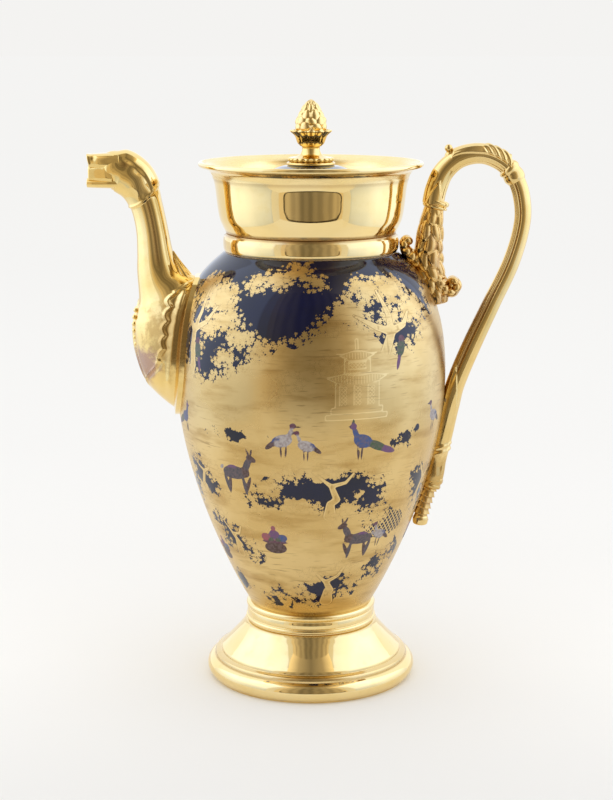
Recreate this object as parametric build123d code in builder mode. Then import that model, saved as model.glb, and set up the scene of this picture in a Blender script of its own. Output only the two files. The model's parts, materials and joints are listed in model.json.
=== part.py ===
from build123d import *
from math import cos, radians, sin, sqrt
import os

# A footed coffee pot with a round lift-off lid, a creature-headed spout and a looped handle.
# Millimetres. The origin is the centre of the foot's underside, +Z is up,
# the spout points towards -X and the handle towards +X.

# Walls and clearances
wall = 3.4
floor_thickness = 4.5
lid_gap = 0.8
relief_bite = 0.5

# Foot: a hollow flared pedestal under a plain ring
foot_height = 37.5
foot_radius = 51.0
foot_torus_height = 9.5
foot_step = 4.0
foot_ring_reach = 1.7
foot_ring_height = 9.0
foot_groove = 1.2
foot_bead = 0.8

# Body: two flowing flanks that meet at the belly
base_radius = 29.8
base_lean = 30.6
base_pull = 12.0
belly_radius = 64.6
belly_rise = 112.9
belly_pull_down = 49.5
belly_pull_up = 44.0
shoulder_radius = 41.0
shoulder_rise = 58.4
shoulder_lean = 43.6
shoulder_pull = 8.0

# Neck: a moulded ring and a tall collar that flares to a brim
neck_ring_height = 8.6
neck_ring_swell = 0.7
neck_ring_fillet = 1.6
neck_ring_width = 4.5
ledge_rise = 10.6
ledge_width = 4.4
collar_wall = 2.8
collar_lean = 2.6
collar_height = 33.6
brim_reach = 6.9
brim_thickness = 2.6

# Lid: a domed cover with a flange that hangs in the throat
lid_edge_thickness = 2.8
lid_flange_depth = 16.0
lid_flange_wall = 3.0
lid_height = 21.0
lid_wall = 3.2

# Finial on the lid
finial_base_radius = 12.2
finial_base_height = 3.7
finial_bead_count = 18
finial_bead_radius = 1.3
finial_foot_radius = 8.0
finial_stem_radius = 4.1
finial_cup_base_height = 9.2
finial_cup_height = 16.0
finial_cup_radius = 8.7
finial_lobe_count = 12
finial_lobe_radius = 1.1
bud_radius = 7.4
bud_height = 15.0
bud_scale_rows = 3
bud_scale_count = 8
bud_scale_radius = 1.7

# Spout: the drops of its ends below belly and shoulder, its widths and its trim
spout_drop = 18.9
stem_drop = 20.8
spout_root_width = 20.0
spout_wall = 3.1
flange_thickness = 2.2
flange_width = 6.0
flange_top_rise = 9.0
pour_radius = 7.0
head_roundness = 0.9
brow_width = 6.2
cheek_radius = 4.0
eye_radius = 2.5
scallop_count = 5
scallop_radius = 2.3
scallop_rise = 1.2
scallop_lift = 12.7
scallop_fall = 28.5
spout_bead_count = 8
spout_bead_radius = 1.1
bead_turn = 40.0
bracket_rise = 17.0
bracket_width = 5.6

# Handle: its trim, its two scrolled ends and its tail
leaf_rise = 1.8
leaf_narrowing = 0.9
thumb_bead_radius = 2.4
arch_band_length = 3.4
band_swell = 0.9
collar_length = 3.6
collar_swell = 0.8
volute_upper_radius = 3.3
volute_lower_radius = 4.1
volute_length = 10.5
volute_eye = 1.6
husk_count = 5
husk_swell = 0.1
tail_knob_radius = 3.5

# Heights and radii that follow from the sizes above
belly_height = foot_height + belly_rise
shoulder_height = belly_height + shoulder_rise
neck_base = shoulder_height + neck_ring_height
brim_height = neck_base + collar_height
throat_radius = shoulder_radius - neck_ring_width
ledge_radius = throat_radius + ledge_width
ledge_height = neck_base + ledge_rise
collar_radius = ledge_radius + collar_wall
brim_radius = collar_radius + collar_lean + brim_reach
foot_ring_radius = base_radius + foot_ring_reach
lid_crown_height = ledge_height + lid_height
spout_root_bottom = belly_height - spout_drop
spout_root_top = shoulder_height - stem_drop


def flank_points(grow):
    """Control points (radius, height) of the lower and upper flank, grown sideways."""
    lower = [
        (base_radius + grow, foot_height),
        (
            base_radius + grow + base_pull * sin(radians(base_lean)),
            foot_height + base_pull * cos(radians(base_lean)),
        ),
        (belly_radius + grow, belly_height - belly_pull_down),
        (belly_radius + grow, belly_height),
    ]
    upper = [
        (belly_radius + grow, belly_height),
        (belly_radius + grow, belly_height + belly_pull_up),
        (
            shoulder_radius + grow + shoulder_pull * cos(radians(shoulder_lean)),
            shoulder_height - shoulder_pull * sin(radians(shoulder_lean)),
        ),
        (shoulder_radius + grow, shoulder_height),
    ]
    return lower, upper


def cubic(a, b, c, d, share):
    """Value of a cubic curve with four controls at a share of its run."""
    rest = 1 - share
    return rest**3 * a + 3 * rest**2 * share * b + 3 * rest * share**2 * c + share**3 * d


def flank_radius(height):
    """Outer radius of the body at a height, by halving along the flank."""
    lower, upper = flank_points(0)
    flank = lower if height < belly_height else upper
    low, high = 0.0, 1.0
    for _ in range(40):
        middle = (low + high) / 2
        if cubic(*[point[1] for point in flank], middle) < height:
            low = middle
        else:
            high = middle
    return cubic(*[point[0] for point in flank], low)


def flank_outline(grow):
    """Outline of half a section of the body, from the axis out to its flanks."""
    lower, upper = flank_points(grow)
    with BuildLine() as outline:
        Bezier(*lower)
        Bezier(*upper)
        Polyline(upper[-1], (0, shoulder_height), (0, foot_height), lower[0])
    return outline.edges()


def route_planes(stations):
    """Planes across a route of (x, z, ...) stations, each facing along the route."""
    planes = []
    for index, station in enumerate(stations):
        before = stations[max(index - 1, 0)]
        after = stations[min(index + 1, len(stations) - 1)]
        travel = (after[0] - before[0], 0, after[1] - before[1])
        planes.append(Plane(origin=(station[0], 0, station[1]), x_dir=(0, 1, 0), z_dir=travel))
    return planes


def ovals(stations, planes, grow=0.0):
    """Oval cross-sections of (x, z, half thickness, half width) stations."""
    faces = []
    for (_, _, thick, wide), plane in zip(stations, planes):
        with BuildSketch(plane) as section:
            Ellipse(wide + grow, thick + grow)
        faces.append(section.sketch.face())
    return faces


# Turned pieces are drawn in this plane, so that their seam keeps clear of spout and handle
turning_plane = Plane.YZ

# Plain solids of the body's outer form, used to seat what stands on it
with BuildPart() as body_form:
    with BuildSketch(turning_plane):
        make_face(flank_outline(0))
    revolve(axis=Axis.Z)

with BuildPart() as padded_form:
    with BuildSketch(turning_plane):
        make_face(flank_outline(flange_thickness))
    revolve(axis=Axis.Z)


# Foot, open underneath, with the ring that carries the body
with BuildPart() as foot:
    flare_top = foot_height - foot_ring_height
    torus_radius = foot_torus_height / 2
    step_radius = foot_radius - foot_step
    with BuildSketch(turning_plane):
        with BuildLine():
            ground = Line((foot_radius - torus_radius * 2 - wall, 0), (foot_radius - torus_radius / 2, 0))
            torus = ThreePointArc(
                ground @ 1, (foot_radius, torus_radius), (step_radius, foot_torus_height)
            )
            step = Line(torus @ 1, (step_radius - foot_bead, foot_torus_height + foot_bead * 3))
            flare = Spline(
                step @ 1,
                ((step_radius + foot_ring_radius) / 2 - foot_bead, (foot_torus_height + flare_top) / 2 + 1),
                (foot_ring_radius + foot_bead / 2, flare_top - foot_groove),
            )
            groove = Polyline(
                flare @ 1,
                (foot_ring_radius - foot_groove, flare_top - foot_groove / 2),
                (foot_ring_radius - foot_groove, flare_top),
                (foot_ring_radius, flare_top + foot_bead),
                (foot_ring_radius, foot_height - foot_bead),
                (foot_ring_radius - foot_bead, foot_height),
                (base_radius - wall * 1.5, foot_height),
                (base_radius - wall * 1.5, flare_top),
            )
            Line(groove @ 1, ground @ 0)
        make_face()
    revolve(axis=Axis.Z)
foot.part.label = "foot"


def root_height(share):
    """Height at a share of the way up the root."""
    return spout_root_bottom + (spout_root_top - spout_root_bottom) * share


pour_height = root_height(0.646)


# Body, a hollow vessel with a floor, open at the shoulder and pierced for the spout
with BuildPart() as body:
    with BuildSketch(turning_plane):
        make_face(flank_outline(0))
    revolve(axis=Axis.Z)
    with BuildSketch(turning_plane):
        make_face(flank_outline(-wall))
        with Locations((0, foot_height)):
            Rectangle(belly_radius * 2, floor_thickness * 2, mode=Mode.SUBTRACT)
    revolve(axis=Axis.Z, mode=Mode.SUBTRACT)
    with BuildSketch(Plane.YZ.offset(-belly_radius - wall)):
        with Locations((0, pour_height)):
            Circle(pour_radius)
    extrude(amount=wall * 5, mode=Mode.SUBTRACT)
    with BuildSketch(Plane.XY.offset(shoulder_height)):
        Circle(throat_radius)
    extrude(amount=-belly_radius / 2, mode=Mode.SUBTRACT)
body.part.label = "body"


# Moulded ring on the shoulder
with BuildPart() as neck_ring:
    with BuildSketch(turning_plane):
        with BuildLine():
            bore = Polyline(
                (shoulder_radius, neck_base),
                (throat_radius, neck_base),
                (throat_radius, shoulder_height),
                (shoulder_radius, shoulder_height),
                (shoulder_radius, shoulder_height + neck_ring_fillet),
            )
            ThreePointArc(
                bore @ 1,
                (shoulder_radius + neck_ring_swell, (neck_base + bore.position_at(1).Y) / 2),
                bore @ 0,
            )
        make_face()
    revolve(axis=Axis.Z)
neck_ring.part.label = "neck_ring"


# Neck, a tall collar that flares to a rounded brim, with a ledge inside for the lid
with BuildPart() as neck:
    brim_root = brim_height - brim_thickness * 1.7
    with BuildSketch(turning_plane):
        with BuildLine():
            outer = Spline(
                (throat_radius + wall, neck_base),
                (collar_radius, neck_base + wall * 2.2),
                (collar_radius + collar_lean, brim_root - brim_thickness),
            )
            under = Spline(
                outer @ 1,
                (brim_radius - brim_thickness / 3, brim_height - brim_thickness),
                tangents=((0.2, 1), (1, 0.25)),
            )
            lip = ThreePointArc(
                under @ 1,
                (brim_radius, brim_height - brim_thickness / 2),
                (brim_radius - brim_thickness / 2, brim_height),
            )
            dish = Spline(
                lip @ 1, (ledge_radius, ledge_height + wall * 2), tangents=((-1, -0.3), (-0.05, -1))
            )
            ledge = Polyline(
                dish @ 1,
                (ledge_radius, ledge_height),
                (throat_radius, ledge_height),
                (throat_radius, neck_base),
                outer @ 0,
            )
        make_face()
    revolve(axis=Axis.Z)
neck.part.label = "neck"


# Lid cover, a dome with a hanging flange, seated on the ledge
lid_radius = ledge_radius - lid_gap
lid_rim_top = ledge_height + lid_edge_thickness
crown_radius = finial_base_radius + relief_bite
dome_centre = (
    (crown_radius**2 + lid_crown_height**2 - lid_radius**2 - lid_rim_top**2)
    / (lid_crown_height - lid_rim_top)
    / 2
)
dome_radius = sqrt(lid_radius**2 + (lid_rim_top - dome_centre) ** 2)
flange_outer = throat_radius - lid_gap
flange_inner = flange_outer - lid_flange_wall


def dome_height(radius, inset):
    """Height of the dome, or of its lining, at a radius from the axis."""
    return dome_centre + sqrt((dome_radius - inset) ** 2 - radius**2)


with BuildPart() as lid_cover:
    lining_top = lid_crown_height - lid_wall
    lining_flat = sqrt((dome_radius - lid_wall) ** 2 - (lining_top - dome_centre) ** 2)
    with BuildSketch(turning_plane):
        with BuildLine():
            middle = (crown_radius + lid_radius) / 2
            dome = ThreePointArc(
                (crown_radius, lid_crown_height), (middle, dome_height(middle, 0)), (lid_radius, lid_rim_top)
            )
            rim = Polyline(
                dome @ 1,
                (lid_radius, ledge_height),
                (flange_outer, ledge_height),
                (flange_outer, ledge_height - lid_flange_depth),
                (flange_inner, ledge_height - lid_flange_depth),
                (flange_inner, dome_height(flange_inner, lid_wall)),
            )
            inner_middle = (flange_inner + lining_flat) / 2
            lining = ThreePointArc(
                rim @ 1, (inner_middle, dome_height(inner_middle, lid_wall)), (lining_flat, lining_top)
            )
            Polyline(lining @ 1, (0, lining_top), (0, lid_crown_height), dome @ 0)
        make_face()
    revolve(axis=Axis.Z)
lid_cover.part.label = "lid_cover"


# Finial base, a ring with a crown of beads
finial_base_top = lid_crown_height + finial_base_height
with BuildPart() as finial_base:
    bead_centre = finial_base_top - finial_bead_radius
    with BuildSketch(Plane.XY.offset(lid_crown_height)):
        Circle(finial_base_radius)
    extrude(amount=finial_base_height / 2)
    with BuildSketch(Plane.XY.offset(lid_crown_height)):
        Circle(finial_base_radius - finial_bead_radius * 1.5)
    extrude(amount=finial_base_height)
    with BuildSketch(turning_plane):
        with Locations((finial_base_radius - finial_bead_radius * 1.5, bead_centre)):
            Circle(finial_bead_radius * 0.7)
    revolve(axis=Axis.Z)
    with Locations((0, 0, bead_centre)):
        with PolarLocations(finial_base_radius - finial_bead_radius * 1.4, finial_bead_count):
            Sphere(finial_bead_radius)
finial_base.part.label = "finial_base"


# Finial cup, a flared stem under a lobed cup
cup_top = lid_crown_height + finial_cup_height
with BuildPart() as finial_cup:
    cup_base = lid_crown_height + finial_cup_base_height
    with BuildSketch(turning_plane):
        with BuildLine():
            stem = Spline(
                (finial_foot_radius, finial_base_top),
                (finial_stem_radius, (finial_base_top + cup_base) / 2 + 0.5),
                (finial_stem_radius + 0.6, cup_base),
            )
            bowl = Spline(
                stem @ 1,
                (finial_cup_radius * 0.75, (cup_base + cup_top) / 2),
                (finial_cup_radius, cup_top - 1),
            )
            Polyline(
                bowl @ 1, (finial_cup_radius, cup_top), (0, cup_top), (0, finial_base_top), stem @ 0
            )
        make_face()
    revolve(axis=Axis.Z)
    with Locations((0, 0, cup_top - finial_lobe_radius)):
        with PolarLocations(finial_cup_radius - finial_lobe_radius / 4, finial_lobe_count):
            Sphere(finial_lobe_radius)
finial_cup.part.label = "finial_cup"


# Finial bud, with rows of scales
def bud_outline(share):
    """Radius of the bud at a share of its height."""
    return bud_radius * (1 - share**1.7) ** 0.62 * (0.86 + 0.14 * min(share / 0.2, 1))


with BuildPart() as finial_bud:
    with BuildSketch(turning_plane):
        with BuildLine():
            flank = [(bud_outline(share), cup_top + bud_height * share) for share in (0, 0.2, 0.5, 0.8)]
            side = Spline(*flank)
            tip = Spline(side @ 1, (0, cup_top + bud_height), tangents=(side % 1, (-1, 0.0)))
            Polyline(tip @ 1, (0, cup_top), side @ 0)
        make_face()
    revolve(axis=Axis.Z)
    for row in range(bud_scale_rows):
        share = 0.2 + 0.24 * row
        with Locations((0, 0, cup_top + bud_height * share)):
            with PolarLocations(
                bud_outline(share) - 1.0, bud_scale_count, start_angle=row % 2 * 180 / bud_scale_count
            ):
                Sphere(bud_scale_radius * (1 - 0.15 * row))
finial_bud.part.label = "finial_bud"


# Spout root: a hollow leafy pouch that widens where it meets the body
# Each station: height, how far its front stands off the belly, half thickness, half width
root_shape = [
    (root_height(0), -1.6, 5.5, spout_root_width * 0.3),
    (root_height(0.1), 5.1, 11.7, spout_root_width * 0.6),
    (root_height(0.26), 13.0, 18.6, spout_root_width * 0.9),
    (root_height(0.43), 17.8, 21.9, spout_root_width),
    (root_height(0.65), 20.4, 22.5, spout_root_width * 0.98),
    (root_height(0.86), 21.4, 20.0, spout_root_width * 0.82),
    (root_height(1), 21.0, 17.6, spout_root_width * 0.68),
]
root_stations = [
    (thick - belly_radius - front, height, thick, wide) for height, front, thick, wide in root_shape
]
root_planes = [
    Plane(origin=(x, 0, height), x_dir=(0, 1, 0), z_dir=(0, 0, 1)) for x, height, *_ in root_stations
]


# Spout neck, a slim hollow stem that leans away from the body as it rises, and the head on it
# Each station: how far its middle stands off the belly, height, half thickness, half width
neck_shape = [
    (6.7, spout_root_top, 11.3, 11.0),
    (8.3, spout_root_top + 9.0, 9.9, 9.6),
    (9.2, spout_root_top + 18.0, 8.8, 8.7),
    (10.4, spout_root_top + 30.0, 7.8, 7.9),
    (12.4, spout_root_top + 40.0, 7.8, 7.7),
    (15.0, spout_root_top + 47.5, 8.4, 7.7),
]
head_shape = [
    (15.0, spout_root_top + 47.5, 8.4, 7.7),
    (20.0, spout_root_top + 54.2, 9.5, 8.0),
    (26.6, spout_root_top + 58.4, 9.6, 8.0),
    (34.0, spout_root_top + 58.9, 8.4, 7.0),
    (41.4, spout_root_top + 58.9, 8.0, 6.4),
]
stem_stations = [(-belly_radius - out, *rest) for out, *rest in neck_shape]
head_stations = [(-belly_radius - out, *rest) for out, *rest in head_shape]
spout_planes = route_planes(stem_stations + head_stations[1:])
stem_start = Plane(origin=(stem_stations[0][0], 0, spout_root_top), x_dir=(0, 1, 0), z_dir=(0, 0, 1))
stem_planes = [stem_start] + spout_planes[1 : len(stem_stations)]
head_planes = spout_planes[len(stem_stations) - 1 :]

with BuildPart() as root_form:
    loft(ovals(root_stations, root_planes))

with BuildPart() as spout_root:
    add(root_form.part)
    cavity = ovals(root_stations[1:-1], root_planes[1:-1], -spout_wall)
    loft(cavity + ovals(stem_stations[:1], stem_planes[:1], -spout_wall), mode=Mode.SUBTRACT)
    add(body_form.part, mode=Mode.SUBTRACT)
spout_root.part.label = "spout_root"

with BuildPart() as stem_form:
    loft(ovals(stem_stations, stem_planes))

with BuildPart() as spout_neck:
    add(stem_form.part)
    loft(ovals(stem_stations, stem_planes, -spout_wall), mode=Mode.SUBTRACT)
    add(body_form.part, mode=Mode.SUBTRACT)
spout_neck.part.label = "spout_neck"


# Flange, a shield-shaped pad that lies on the body round the root
with BuildPart() as spout_flange:
    half_width = spout_root_width + flange_width
    with BuildSketch(Plane.YZ.offset(-belly_radius - flange_thickness * 2)):
        with BuildLine():
            edge = Spline(
                (0, spout_root_bottom - 2),
                (half_width * 0.9, root_height(0.26)),
                (half_width, root_height(0.55)),
                (half_width * 0.72, root_height(1)),
                (half_width * 0.3, spout_root_top + flange_top_rise),
            )
            Line(edge @ 1, (0, spout_root_top + flange_top_rise))
            mirror(about=Plane.YZ)
        make_face()
    extrude(amount=belly_radius)
    add(padded_form.part, mode=Mode.INTERSECT)
    add(body_form.part, mode=Mode.SUBTRACT)
    add(root_form.part, mode=Mode.SUBTRACT)
    add(stem_form.part, mode=Mode.SUBTRACT)
spout_flange.part.label = "spout_flange"


def head_sections(grow):
    """Softly squared sections of the head, grown or shrunk all round."""
    faces = []
    for (_, _, thick, wide), plane in zip(head_stations, head_planes):
        with BuildSketch(plane) as section:
            RectangleRounded((wide + grow) * 2, (thick + grow) * 2, (wide + grow) * head_roundness)
        faces.append(section.sketch.face())
    return faces


# Spout head, a stylised creature with an open mouth, brow ridges and cheeks
with BuildPart() as spout_head:
    mouth_x, muzzle_z = head_stations[-1][0], head_stations[-1][1]
    loft(head_sections(0))
    with BuildSketch(Plane.XZ):
        with BuildLine():
            Polyline(
                (mouth_x + 14.5, muzzle_z + 6.5),
                (mouth_x + 17.0, muzzle_z + 9.6),
                (mouth_x + 22.5, muzzle_z + 7.6),
                (mouth_x + 28.8, muzzle_z + 1.4),
                (mouth_x + 34.6, muzzle_z - 6.4),
                (mouth_x + 32.6, muzzle_z - 8.2),
                (mouth_x + 26.0, muzzle_z - 2.5),
                (mouth_x + 20.0, muzzle_z + 3.0),
                close=True,
            )
        make_face()
    extrude(amount=brow_width, both=True)
    with Locations((mouth_x + 20.5, 0, muzzle_z - 6.5)):
        with GridLocations(0, head_shape[1][3] * 1.3, 1, 2):
            Sphere(cheek_radius)
    with Locations((mouth_x + 18.6, 0, muzzle_z + 0.8)):
        with GridLocations(0, head_shape[1][3] * 2.15, 1, 2):
            Sphere(eye_radius, mode=Mode.SUBTRACT)
    with BuildSketch(Plane.XZ):
        with BuildLine():
            snout = Polyline(
                (mouth_x + 7.6, muzzle_z - 4.3),
                (mouth_x + 3.0, muzzle_z - 5.1),
                (mouth_x + 0.3, muzzle_z - 9.0),
                (mouth_x - 3.0, muzzle_z - 9.0),
                (mouth_x - 3.0, muzzle_z + 8.6),
                (mouth_x, muzzle_z + 8.6),
                (mouth_x + 2.8, muzzle_z + 0.7),
                (mouth_x + 7.6, muzzle_z),
            )
            ThreePointArc(snout @ 1, (mouth_x + 9.4, muzzle_z - 2.1), snout @ 0)
        make_face()
    extrude(amount=head_shape[0][3] * 2, both=True, mode=Mode.SUBTRACT)
    loft(head_sections(-spout_wall), mode=Mode.SUBTRACT)
    add(stem_form.part, mode=Mode.SUBTRACT)
spout_head.part.label = "spout_head"


# Scallops, shells along both edges of the leafy cup round the stem
with BuildPart() as spout_scallops:
    for step in range(scallop_count):
        share = step / (scallop_count - 1)
        with BuildSketch(Plane.XZ):
            scallop_height = spout_root_top + scallop_lift - scallop_fall * share
            with Locations((-belly_radius - 4.7 - 3.9 * share**0.6, scallop_height)):
                Circle(scallop_radius)
        extrude(amount=spout_root_width * (0.42 + 0.45 * share) + scallop_rise, both=True)
    add(root_form.part, mode=Mode.SUBTRACT)
    add(stem_form.part, mode=Mode.SUBTRACT)
spout_scallops.part.label = "spout_scallops"


# Beads, a row down the front of the root
with BuildPart() as spout_beads:
    for step in range(spout_bead_count):
        share = step / (spout_bead_count - 1)
        with Locations((-belly_radius - 21.4 + 3.6 * share**2, 0, root_height(0.9 - 0.48 * share))):
            Sphere(spout_bead_radius, rotation=(bead_turn, bead_turn, 0))
    add(root_form.part, mode=Mode.SUBTRACT)
spout_beads.part.label = "spout_beads"


# Handle route, from the collar over the arch and down along the body
# Each arch station: how far it stands off the brim, height, half thickness, half width
arch_shape = [
    (4.4, shoulder_height + 25.8, 5.4, 5.2),
    (8.6, shoulder_height + 35.8, 5.0, 5.0),
    (16.6, shoulder_height + 43.5, 4.6, 4.9),
    (26.8, shoulder_height + 45.2, 4.4, 4.8),
    (36.0, shoulder_height + 42.1, 4.3, 4.7),
    (42.2, shoulder_height + 36.0, 4.2, 4.6),
    (46.1, shoulder_height + 26.4, 4.1, 4.5),
    (47.0, shoulder_height + 13.7, 4.0, 4.4),
]
# Each station further down: how far it stands off the belly, height, half thickness, half width
arm_shape = [
    (30.8, shoulder_height - 5.0, 4.1, 4.4),
    (21.9, shoulder_height - 24.8, 4.3, 4.5),
    (12.8, belly_height + 13.4, 4.6, 4.6),
    (5.4, belly_height - 5.0, 4.7, 4.6),
]
# Each tail station: drop below the belly, how far its back rises off the body, half thickness, half width
tail_shape = [
    (16.4, 8.0, 4.5, 4.5),
    (30.4, 7.3, 4.3, 4.2),
    (43.4, 6.6, 4.1, 3.9),
    (52.9, 6.6, 4.0, 3.7),
    (57.4, 6.9, 4.0, 3.7),
    (65.4, 7.2, 4.0, 3.5),
    (71.6, 7.8, 4.0, 3.4),
]
arch_stations = [(brim_radius + out, *rest) for out, *rest in arch_shape]
arm_stations = arch_stations + [(belly_radius + out, *rest) for out, *rest in arm_shape]
tail_stations = [
    (flank_radius(belly_height - drop) + rise - thick, belly_height - drop, thick, wide)
    for drop, rise, thick, wide in tail_shape
]
handle_stations = arm_stations + tail_stations
handle_planes = route_planes(handle_stations)
arm_end = len(arm_stations) - 1
ring_start = arm_end + 4
ring_end = ring_start + 1


def stretch(first, last, grow=0.0):
    """Sections of the handle from one station to another, both included."""
    return ovals(handle_stations[first : last + 1], handle_planes[first : last + 1], grow)


# The whole sweep of the handle, seated against the body before it is parted into arm and tail
with BuildPart() as route_form:
    loft(stretch(0, ring_start))

with BuildPart() as handle_form:
    add(route_form.part)
    add(body_form.part, mode=Mode.SUBTRACT)


# Handle arm, the looped part that the hand goes round
with BuildPart() as handle_arm:
    add(handle_form.part)
    split(bisect_by=handle_planes[arm_end], keep=Keep.BOTTOM)
handle_arm.part.label = "handle_arm"


# Band round the arch, where the leaf ends
def lifted_oval(index, shift, thick_grow, wide_grow, rise):
    """One section of the handle, moved along its route and lifted off its outer side."""
    _, _, thick, wide = handle_stations[index]
    with BuildSketch(handle_planes[index].offset(shift)) as section:
        with Locations((0, rise)):
            Ellipse(wide + wide_grow, thick + thick_grow)
    return section.sketch.face()


band_station = 5
with BuildPart() as band_form:
    half_rise = leaf_rise / 2
    loft(
        [
            lifted_oval(band_station, shift, band_swell + half_rise, band_swell, half_rise)
            for shift in (-arch_band_length / 2, 0, arch_band_length / 2)
        ]
    )

with BuildPart() as arch_band:
    add(band_form.part)
    add(handle_arm.part, mode=Mode.SUBTRACT)
arch_band.part.label = "arch_band"


# Leaf laid over the outside of the arch
leaf_start = 2
with BuildPart() as handle_leaf:
    loft(
        [
            lifted_oval(index, 0, 0, -leaf_narrowing, leaf_rise)
            for index in range(leaf_start, band_station + 1)
        ]
    )
    add(handle_arm.part, mode=Mode.SUBTRACT)
    add(band_form.part, mode=Mode.SUBTRACT)
handle_leaf.part.label = "handle_leaf"


# Thumb bead, a small knob that stands in front of the leaf
with BuildPart() as thumb_bead:
    bead_seat = handle_stations[leaf_start][2]
    with Locations(handle_planes[leaf_start].offset(-thumb_bead_radius * 1.35)):
        with Locations((0, bead_seat + thumb_bead_radius * 0.2, 0)):
            Sphere(thumb_bead_radius)
        with Locations((0, bead_seat + thumb_bead_radius * 1.1, 0)):
            Sphere(thumb_bead_radius * 0.8)
    add(handle_arm.part, mode=Mode.SUBTRACT)
    add(handle_leaf.part, mode=Mode.SUBTRACT)
thumb_bead.part.label = "thumb_bead"


# Collar, two rings where the trunk turns into the arm
with BuildPart() as handle_collar:
    ring = collar_length / 4
    for middle in (-collar_length + ring, -ring):
        loft(
            [
                lifted_oval(0, middle - ring, 0, 0, 0),
                lifted_oval(0, middle, collar_swell, collar_swell, 0),
                lifted_oval(0, middle + ring, 0, 0, 0),
            ]
        )
handle_collar.part.label = "handle_collar"


# Trunk, the carved post of the handle, seated on the shoulder between two scrolled ends
trunk_top = handle_planes[0].offset(-collar_length)
# Each station: how far it stands off the brim, height, half thickness, half width
trunk_shape = [
    (7.2, shoulder_height - 22.4, 5.2, 5.4),
    (4.6, shoulder_height - 13.8, 6.6, 6.4),
    (2.4, shoulder_height - 4.8, 7.6, 7.0),
    (2.8, shoulder_height + 4.2, 7.2, 6.8),
    (3.6, shoulder_height + 13.2, 6.2, 6.0),
]
trunk_stations = [(brim_radius + out, *rest) for out, *rest in trunk_shape]
trunk_stations.append((trunk_top.origin.X, trunk_top.origin.Z, *arch_shape[0][2:]))
trunk_planes = route_planes(trunk_stations)[:-1] + [trunk_top]
trunk_leaf_step = 2.5
upper_roll = (shoulder_radius + neck_ring_swell + volute_upper_radius - relief_bite, shoulder_height + 3.8)
lower_roll = (brim_radius + 14.4, shoulder_height - 16.4)

with BuildPart() as handle_trunk:
    loft(ovals(trunk_stations, trunk_planes))
    with BuildSketch(Plane.XZ):
        with BuildLine():
            Polyline(
                (upper_roll[0], upper_roll[1] + volute_upper_radius * 0.8),
                (trunk_stations[3][0] - 5, upper_roll[1] + volute_upper_radius),
                (trunk_stations[2][0], trunk_stations[2][1]),
                (upper_roll[0], upper_roll[1] - volute_upper_radius * 2),
                close=True,
            )
        make_face()
        with BuildLine():
            Polyline(
                (trunk_stations[0][0] - 3, trunk_stations[0][1]),
                (lower_roll[0] - 1, lower_roll[1] - volute_lower_radius * 1.6),
                (lower_roll[0] + 3, lower_roll[1] - volute_lower_radius * 0.9),
                (lower_roll[0], lower_roll[1]),
                (trunk_stations[1][0], trunk_stations[1][1] + 2),
                close=True,
            )
        make_face()
    extrude(amount=volute_length * 0.42, both=True)
    for (x, z), radius in ((upper_roll, volute_upper_radius), (lower_roll, volute_lower_radius)):
        with BuildSketch(Plane.XZ):
            with Locations((x, z)):
                Circle(radius)
        extrude(amount=volute_length / 2, both=True)
        with BuildSketch(Plane.XZ):
            with Locations((x, z)):
                Circle(volute_eye)
        extrude(amount=volute_length / 2 + volute_eye / 2, both=True)
    for x, z, thick, wide in trunk_stations[1:-1]:
        with BuildSketch(Plane.XZ):
            with Locations((x - thick * 0.5, z - trunk_leaf_step), (x + thick * 0.5, z + trunk_leaf_step)):
                Circle(thick * 0.36)
        extrude(amount=wide * 0.96, both=True)
    add(body_form.part, mode=Mode.SUBTRACT)
    add(neck_ring.part, mode=Mode.SUBTRACT)
handle_trunk.part.label = "handle_trunk"


# Tail, the end of the handle that lies along the body, with its leaf, ring, husks and knob
with BuildPart() as handle_tail:
    add(handle_form.part)
    split(bisect_by=handle_planes[arm_end], keep=Keep.TOP)
handle_tail.part.label = "handle_tail"

with BuildPart() as tail_leaf:
    loft(
        [
            lifted_oval(arm_end + step, 0, 0, -leaf_narrowing, leaf_rise * (1 - step * 0.4))
            for step in range(3)
        ]
    )
    add(route_form.part, mode=Mode.SUBTRACT)
    add(body_form.part, mode=Mode.SUBTRACT)
tail_leaf.part.label = "tail_leaf"

with BuildPart() as tail_ring:
    loft(stretch(ring_start, ring_end, band_swell / 2))
    add(body_form.part, mode=Mode.SUBTRACT)
tail_ring.part.label = "tail_ring"

with BuildPart() as husk_stem:
    loft(stretch(ring_end, len(handle_stations) - 1))
    top, bottom = handle_stations[ring_end], handle_stations[-1]
    for step in range(husk_count):
        share = (step + 0.6) / husk_count
        x, z, thick = (a + (b - a) * share for a, b in zip(top[:3], bottom[:3]))
        with Locations((x, 0, z)):
            Sphere(thick + husk_swell)
    add(body_form.part, mode=Mode.SUBTRACT)
    add(tail_ring.part, mode=Mode.SUBTRACT)
husk_stem.part.label = "husk_stem"

with BuildPart() as tail_knob:
    with Locations((handle_stations[-1][0] + 0.4, 0, handle_stations[-1][1] - tail_knob_radius * 0.6)):
        Sphere(tail_knob_radius)
    add(husk_stem.part, mode=Mode.SUBTRACT)
    add(body_form.part, mode=Mode.SUBTRACT)
tail_knob.part.label = "tail_knob"


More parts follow.
